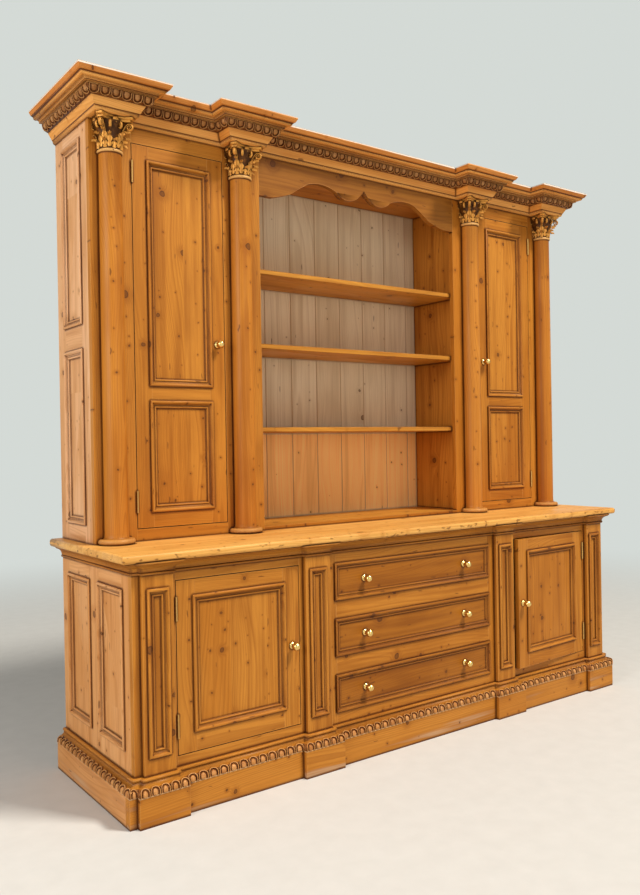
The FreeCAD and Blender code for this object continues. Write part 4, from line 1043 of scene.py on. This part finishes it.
EGG_PITCH = 0.0384
EGG_MIDDLE = -0.0058
EGG_SIZE = (0.0104, 0.0142, 0.0044, 1)
EGG_BACK_SHARE = -0.2
EGG_FOOT_SHARE = -0.42
DART_PLACE = (EGG_PITCH / 2, 0.006, -0.001)
DART_SIZE = (0.0036, 0.0062, 0.0055, 1)
ARCH_HALF_WIDE = 0.0162
ARCH_TALL = 0.0124
BAND_FOOT = -0.0118
RUN_END = BACK - 0.006


def egg_unit(bend_radius):
    """One egg under its arch with a dart beside it, bent round the moulding: X along the run, Z out of it."""
    bm = bmesh.new()
    bmesh.ops.create_uvsphere(bm, u_segments=12, v_segments=7, radius=1.0)
    saw(bm, (0, 0, EGG_BACK_SHARE), (0, 0, 1), clear_inner=True)
    saw(bm, (0, EGG_FOOT_SHARE, 0), (0, 1, 0), clear_inner=True)
    bmesh.ops.transform(bm, matrix=Matrix.Translation((0, EGG_MIDDLE, 0)) @ Matrix.Diagonal(EGG_SIZE), verts=bm.verts)
    add_shape(bm, arch_shape(), [NO_TURN])
    dart = bmesh.new()
    bmesh.ops.create_cone(dart, segments=4, radius1=1.0, radius2=0.15, depth=1.0, cap_ends=True)
    bmesh.ops.translate(dart, vec=(0, 0, 0.5), verts=dart.verts)
    add_shape(bm, dart, [Matrix.Translation(DART_PLACE) @ Matrix.Diagonal(DART_SIZE)])
    for vert in bm.verts:
        angle = vert.co.y / bend_radius
        out = bend_radius + vert.co.z
        vert.co.y, vert.co.z = out * math.sin(angle), out * math.cos(angle)
    return bm


def arch_shape():
    """The raised rim round an egg, open at its foot."""
    bm = bmesh.new()
    outline = ((-0.0019, -0.001), (-0.0013, 0.0046), (0.0009, 0.005), (0.0022, -0.001))
    section = [bm.verts.new((ARCH_HALF_WIDE + x, 0, z)) for x, z in outline]
    edges = [bm.edges.new(pair) for pair in zip(section, section[1:] + section[:1])]
    bmesh.ops.spin(bm, geom=section + edges, cent=(0, 0, 0), axis=(0, 0, 1), dvec=(0, 0, 0), angle=math.pi, steps=7)
    bmesh.ops.scale(bm, vec=(1, ARCH_TALL / ARCH_HALF_WIDE, 1), verts=bm.verts)
    legs = [edge for edge in bm.edges if all(abs(vert.co.y) < SAME_SPOT for vert in edge.verts)]
    foot = bmesh.ops.extrude_edge_only(bm, edges=legs)
    bmesh.ops.translate(bm, vec=(0, BAND_FOOT, 0),
                        verts=[item for item in foot["geom"] if isinstance(item, bmesh.types.BMVert)])
    bmesh.ops.holes_fill(bm, edges=[edge for edge in bm.edges if edge.is_boundary], sides=4)
    return bm


def run_of_eggs(bm, unit, start, end, out, centre, tilt, upside_down):
    """Space the units evenly along one straight length of moulding."""
    along = end - start
    count = round(along.length / EGG_PITCH)
    if not count:
        return
    step = along / count
    up = Vector((0, 0, -1 if upside_down else 1))
    normal = (out * math.cos(tilt) + Vector((0, 0, 1)) * math.sin(tilt)).normalized()
    y_axis = (up - normal * up.dot(normal)).normalized()
    x_axis = y_axis.cross(normal)
    turn = Matrix((x_axis, y_axis, normal)).transposed().to_4x4()
    scale = Matrix.Diagonal((step.length / EGG_PITCH, 1, 1, 1))
    for number in range(count):
        spot = start + step * (number + 0.5) + out * centre[0]
        add_copy(bm, unit, Matrix.Translation((spot.x, spot.y, centre[1])) @ turn @ scale)


def stepped_plan(half, face, breaks, break_half, proud, reach):
    """The straight lengths of a moulding round the stepped front, as start, end and outward direction."""
    spots = [(-half, RUN_END), (-half, face)]
    for centre in [-place for place in reversed(breaks)] + list(breaks):
        spots += [(centre - break_half, face), (centre - break_half, face - proud),
                  (centre + break_half, face - proud), (centre + break_half, face)]
    spots += [(half, face), (half, RUN_END)]
    lengths = []
    for low, high in zip(spots, spots[1:]):
        start, end = Vector((*low, 0)), Vector((*high, 0))
        along = end - start
        if along.length > SAME_SPOT:
            lengths.append([start, end, Vector((along.y, -along.x, 0)).normalized()])
    for index, (start, end, out) in enumerate(lengths):
        along = (end - start).normalized()
        if index:
            start += along * reach * turn_sign(lengths[index - 1][2], along)
        if index < len(lengths) - 1:
            end += along * reach * turn_sign(lengths[index + 1][2], along)
    return lengths


def turn_sign(neighbour_out, along):
    """1 where the neighbour faces the way this length runs, -1 where it faces back."""
    return 1 if neighbour_out.dot(along) > 0 else -1


# the rounded face that each carving follows: radius, centre as reach from the face and height, and tilt
PLINTH_ROUND = (0.016, (0.0177, 0.1078), math.radians(26.5))
CORNICE_ROUND = (0.0178, (0.0304, 2.4262), math.radians(-33))

# how much longer or shorter the carved lengths are at each corner than the face behind them
PLINTH_REACH = 0.032
CORNICE_REACH = 0.045


def make_carved_run(name, material, plan, rounded, upside_down=False):
    radius, centre, tilt = rounded
    unit = egg_unit(radius)
    bm = bmesh.new()
    for start, end, out in plan:
        run_of_eggs(bm, unit, start, end, out, centre, tilt, upside_down)
    unit.free()
    finish_new(name, bm, material, "carcass", sharp=60)


def make_carvings():
    """Egg and dart round the plinth, and upside down round the cornice."""
    plinth = stepped_plan(BASE_HALF, BASE_FACE, BASE_PILASTERS, PILASTER_HALF, PILASTER_PROUD, PLINTH_REACH)
    make_carved_run("plinth_egg_and_dart", PLINTH_CARVING, plinth, PLINTH_ROUND)
    cornice = stepped_plan(BASE_HALF, UPPER_FACE, UPPER_BREAKS, BREAK_HALF, BREAK_PROUD, CORNICE_REACH)
    make_carved_run("cornice_egg_and_dart", CORNICE_CARVING, cornice, CORNICE_ROUND, upside_down=True)


# ---- stage, light and camera ----

CAMERA_PLACE = Vector((-2.34079, -2.80762, 1.21553))
CAMERA_YAW = math.radians(36.44)
CAMERA_PITCH = math.radians(0.29)
CAMERA_ROLL = math.radians(0.97)
CAMERA_LENS = 33.63


def make_camera():
    data = bpy.data.cameras.new("camera")
    data.lens = CAMERA_LENS
    camera = link("camera", data)
    camera.matrix_world = (Matrix.Translation(CAMERA_PLACE) @ Matrix.Rotation(-CAMERA_YAW, 4, "Z")
                           @ Matrix.Rotation(math.pi / 2 - CAMERA_PITCH, 4, "X")
                           @ Matrix.Rotation(-CAMERA_ROLL, 4, "Z"))
    bpy.context.scene.camera = camera


def add_light(name, place, target, size, watts, colour):
    data = bpy.data.lights.new(name, "AREA")
    data.size = size
    data.energy = watts
    data.color = colour
    light = link(name, data)
    light.location = place
    light.rotation_euler = (Vector(target) - Vector(place)).to_track_quat("-Z", "Y").to_euler()


BACKDROP = (0.66, 0.7, 0.67)
FLOOR_DARK = (0.62, 0.61, 0.57)
FLOOR_PALE = (0.7, 0.69, 0.65)
SKY = (1.0, 0.98, 0.95)

# name, place, target, size, watts and colour
LIGHTS = (
    ("key", (3.0, -5.2, 9.6), (0.0, 0.0, 1.1), 2.2, 1180.0, (1.0, 0.95, 0.88)),
    ("front", (-0.6, -6.0, 2.2), (0.0, 0.0, 1.2), 2.5, 34.0, (1.0, 0.97, 0.93)),
    ("side", (-5.0, -1.2, 2.6), (-0.8, 0.0, 1.2), 2.5, 128.0, (1.0, 0.97, 0.95)),
)


def seen_directly(nodes):
    """1 for the camera and for reflections, 0 for the light that falls on things."""
    path = nodes.add("ShaderNodeLightPath").outputs
    return nodes.larger(nodes.larger(path["Is Camera Ray"], path["Is Glossy Ray"]), path["Is Transmission Ray"])


def make_floor():
    bm = bmesh.new()
    bmesh.ops.create_grid(bm, x_segments=1, y_segments=1, size=30.0)
    mesh = bpy.data.meshes.new("floor")
    bm.to_mesh(mesh)
    bm.free()
    material, nodes = new_material("floor_grey")
    coords = nodes.object_place()
    colour = nodes.colour_mix(nodes.noise(coords, 14.0, 4.0), FLOOR_DARK, FLOOR_PALE)
    shader = nodes.add("ShaderNodeBsdfPrincipled", {"Base Color": colour, "Roughness": 0.9})
    far = nodes.smooth(nodes.length(coords), 2.2, 6.5)
    glow = nodes.add("ShaderNodeEmission", {"Color": BACKDROP})
    mixed = nodes.add("ShaderNodeMixShader", {0: nodes.times(far, seen_directly(nodes)),
                                              1: shader.outputs[0], 2: glow.outputs[0]})
    nodes.add("ShaderNodeOutputMaterial", {"Surface": mixed.outputs[0]})
    mesh.materials.append(material)
    floor = link("floor", mesh)


def make_world():
    world = bpy.data.worlds.new("studio")
    world.use_nodes = True
    world.node_tree.nodes.clear()
    nodes = Nodes(world.node_tree)
    light = nodes.add("ShaderNodeBackground", {"Color": SKY, "Strength": 0.22})
    backdrop = nodes.add("ShaderNodeBackground", {"Color": BACKDROP, "Strength": 1.0})
    mixed = nodes.add("ShaderNodeMixShader", {0: seen_directly(nodes), 1: light.outputs[0], 2: backdrop.outputs[0]})
    nodes.add("ShaderNodeOutputWorld", {"Surface": mixed.outputs[0]})
    bpy.context.scene.world = world


def make_studio():
    bpy.context.scene.view_settings.view_transform = "Standard"
    make_floor()
    make_world()
    for light in LIGHTS:
        add_light(*light)
    make_camera()


dress_fronts_and_shelves()
dress_sides()
dress_mouldings()
dress_worktop()
dress_backs()
dress_hidden_parts()
dress_doors()
dress_drawers()
make_drawer_knobs()
make_door_knobs()
make_columns()
make_capitals()
make_carvings()
make_studio()
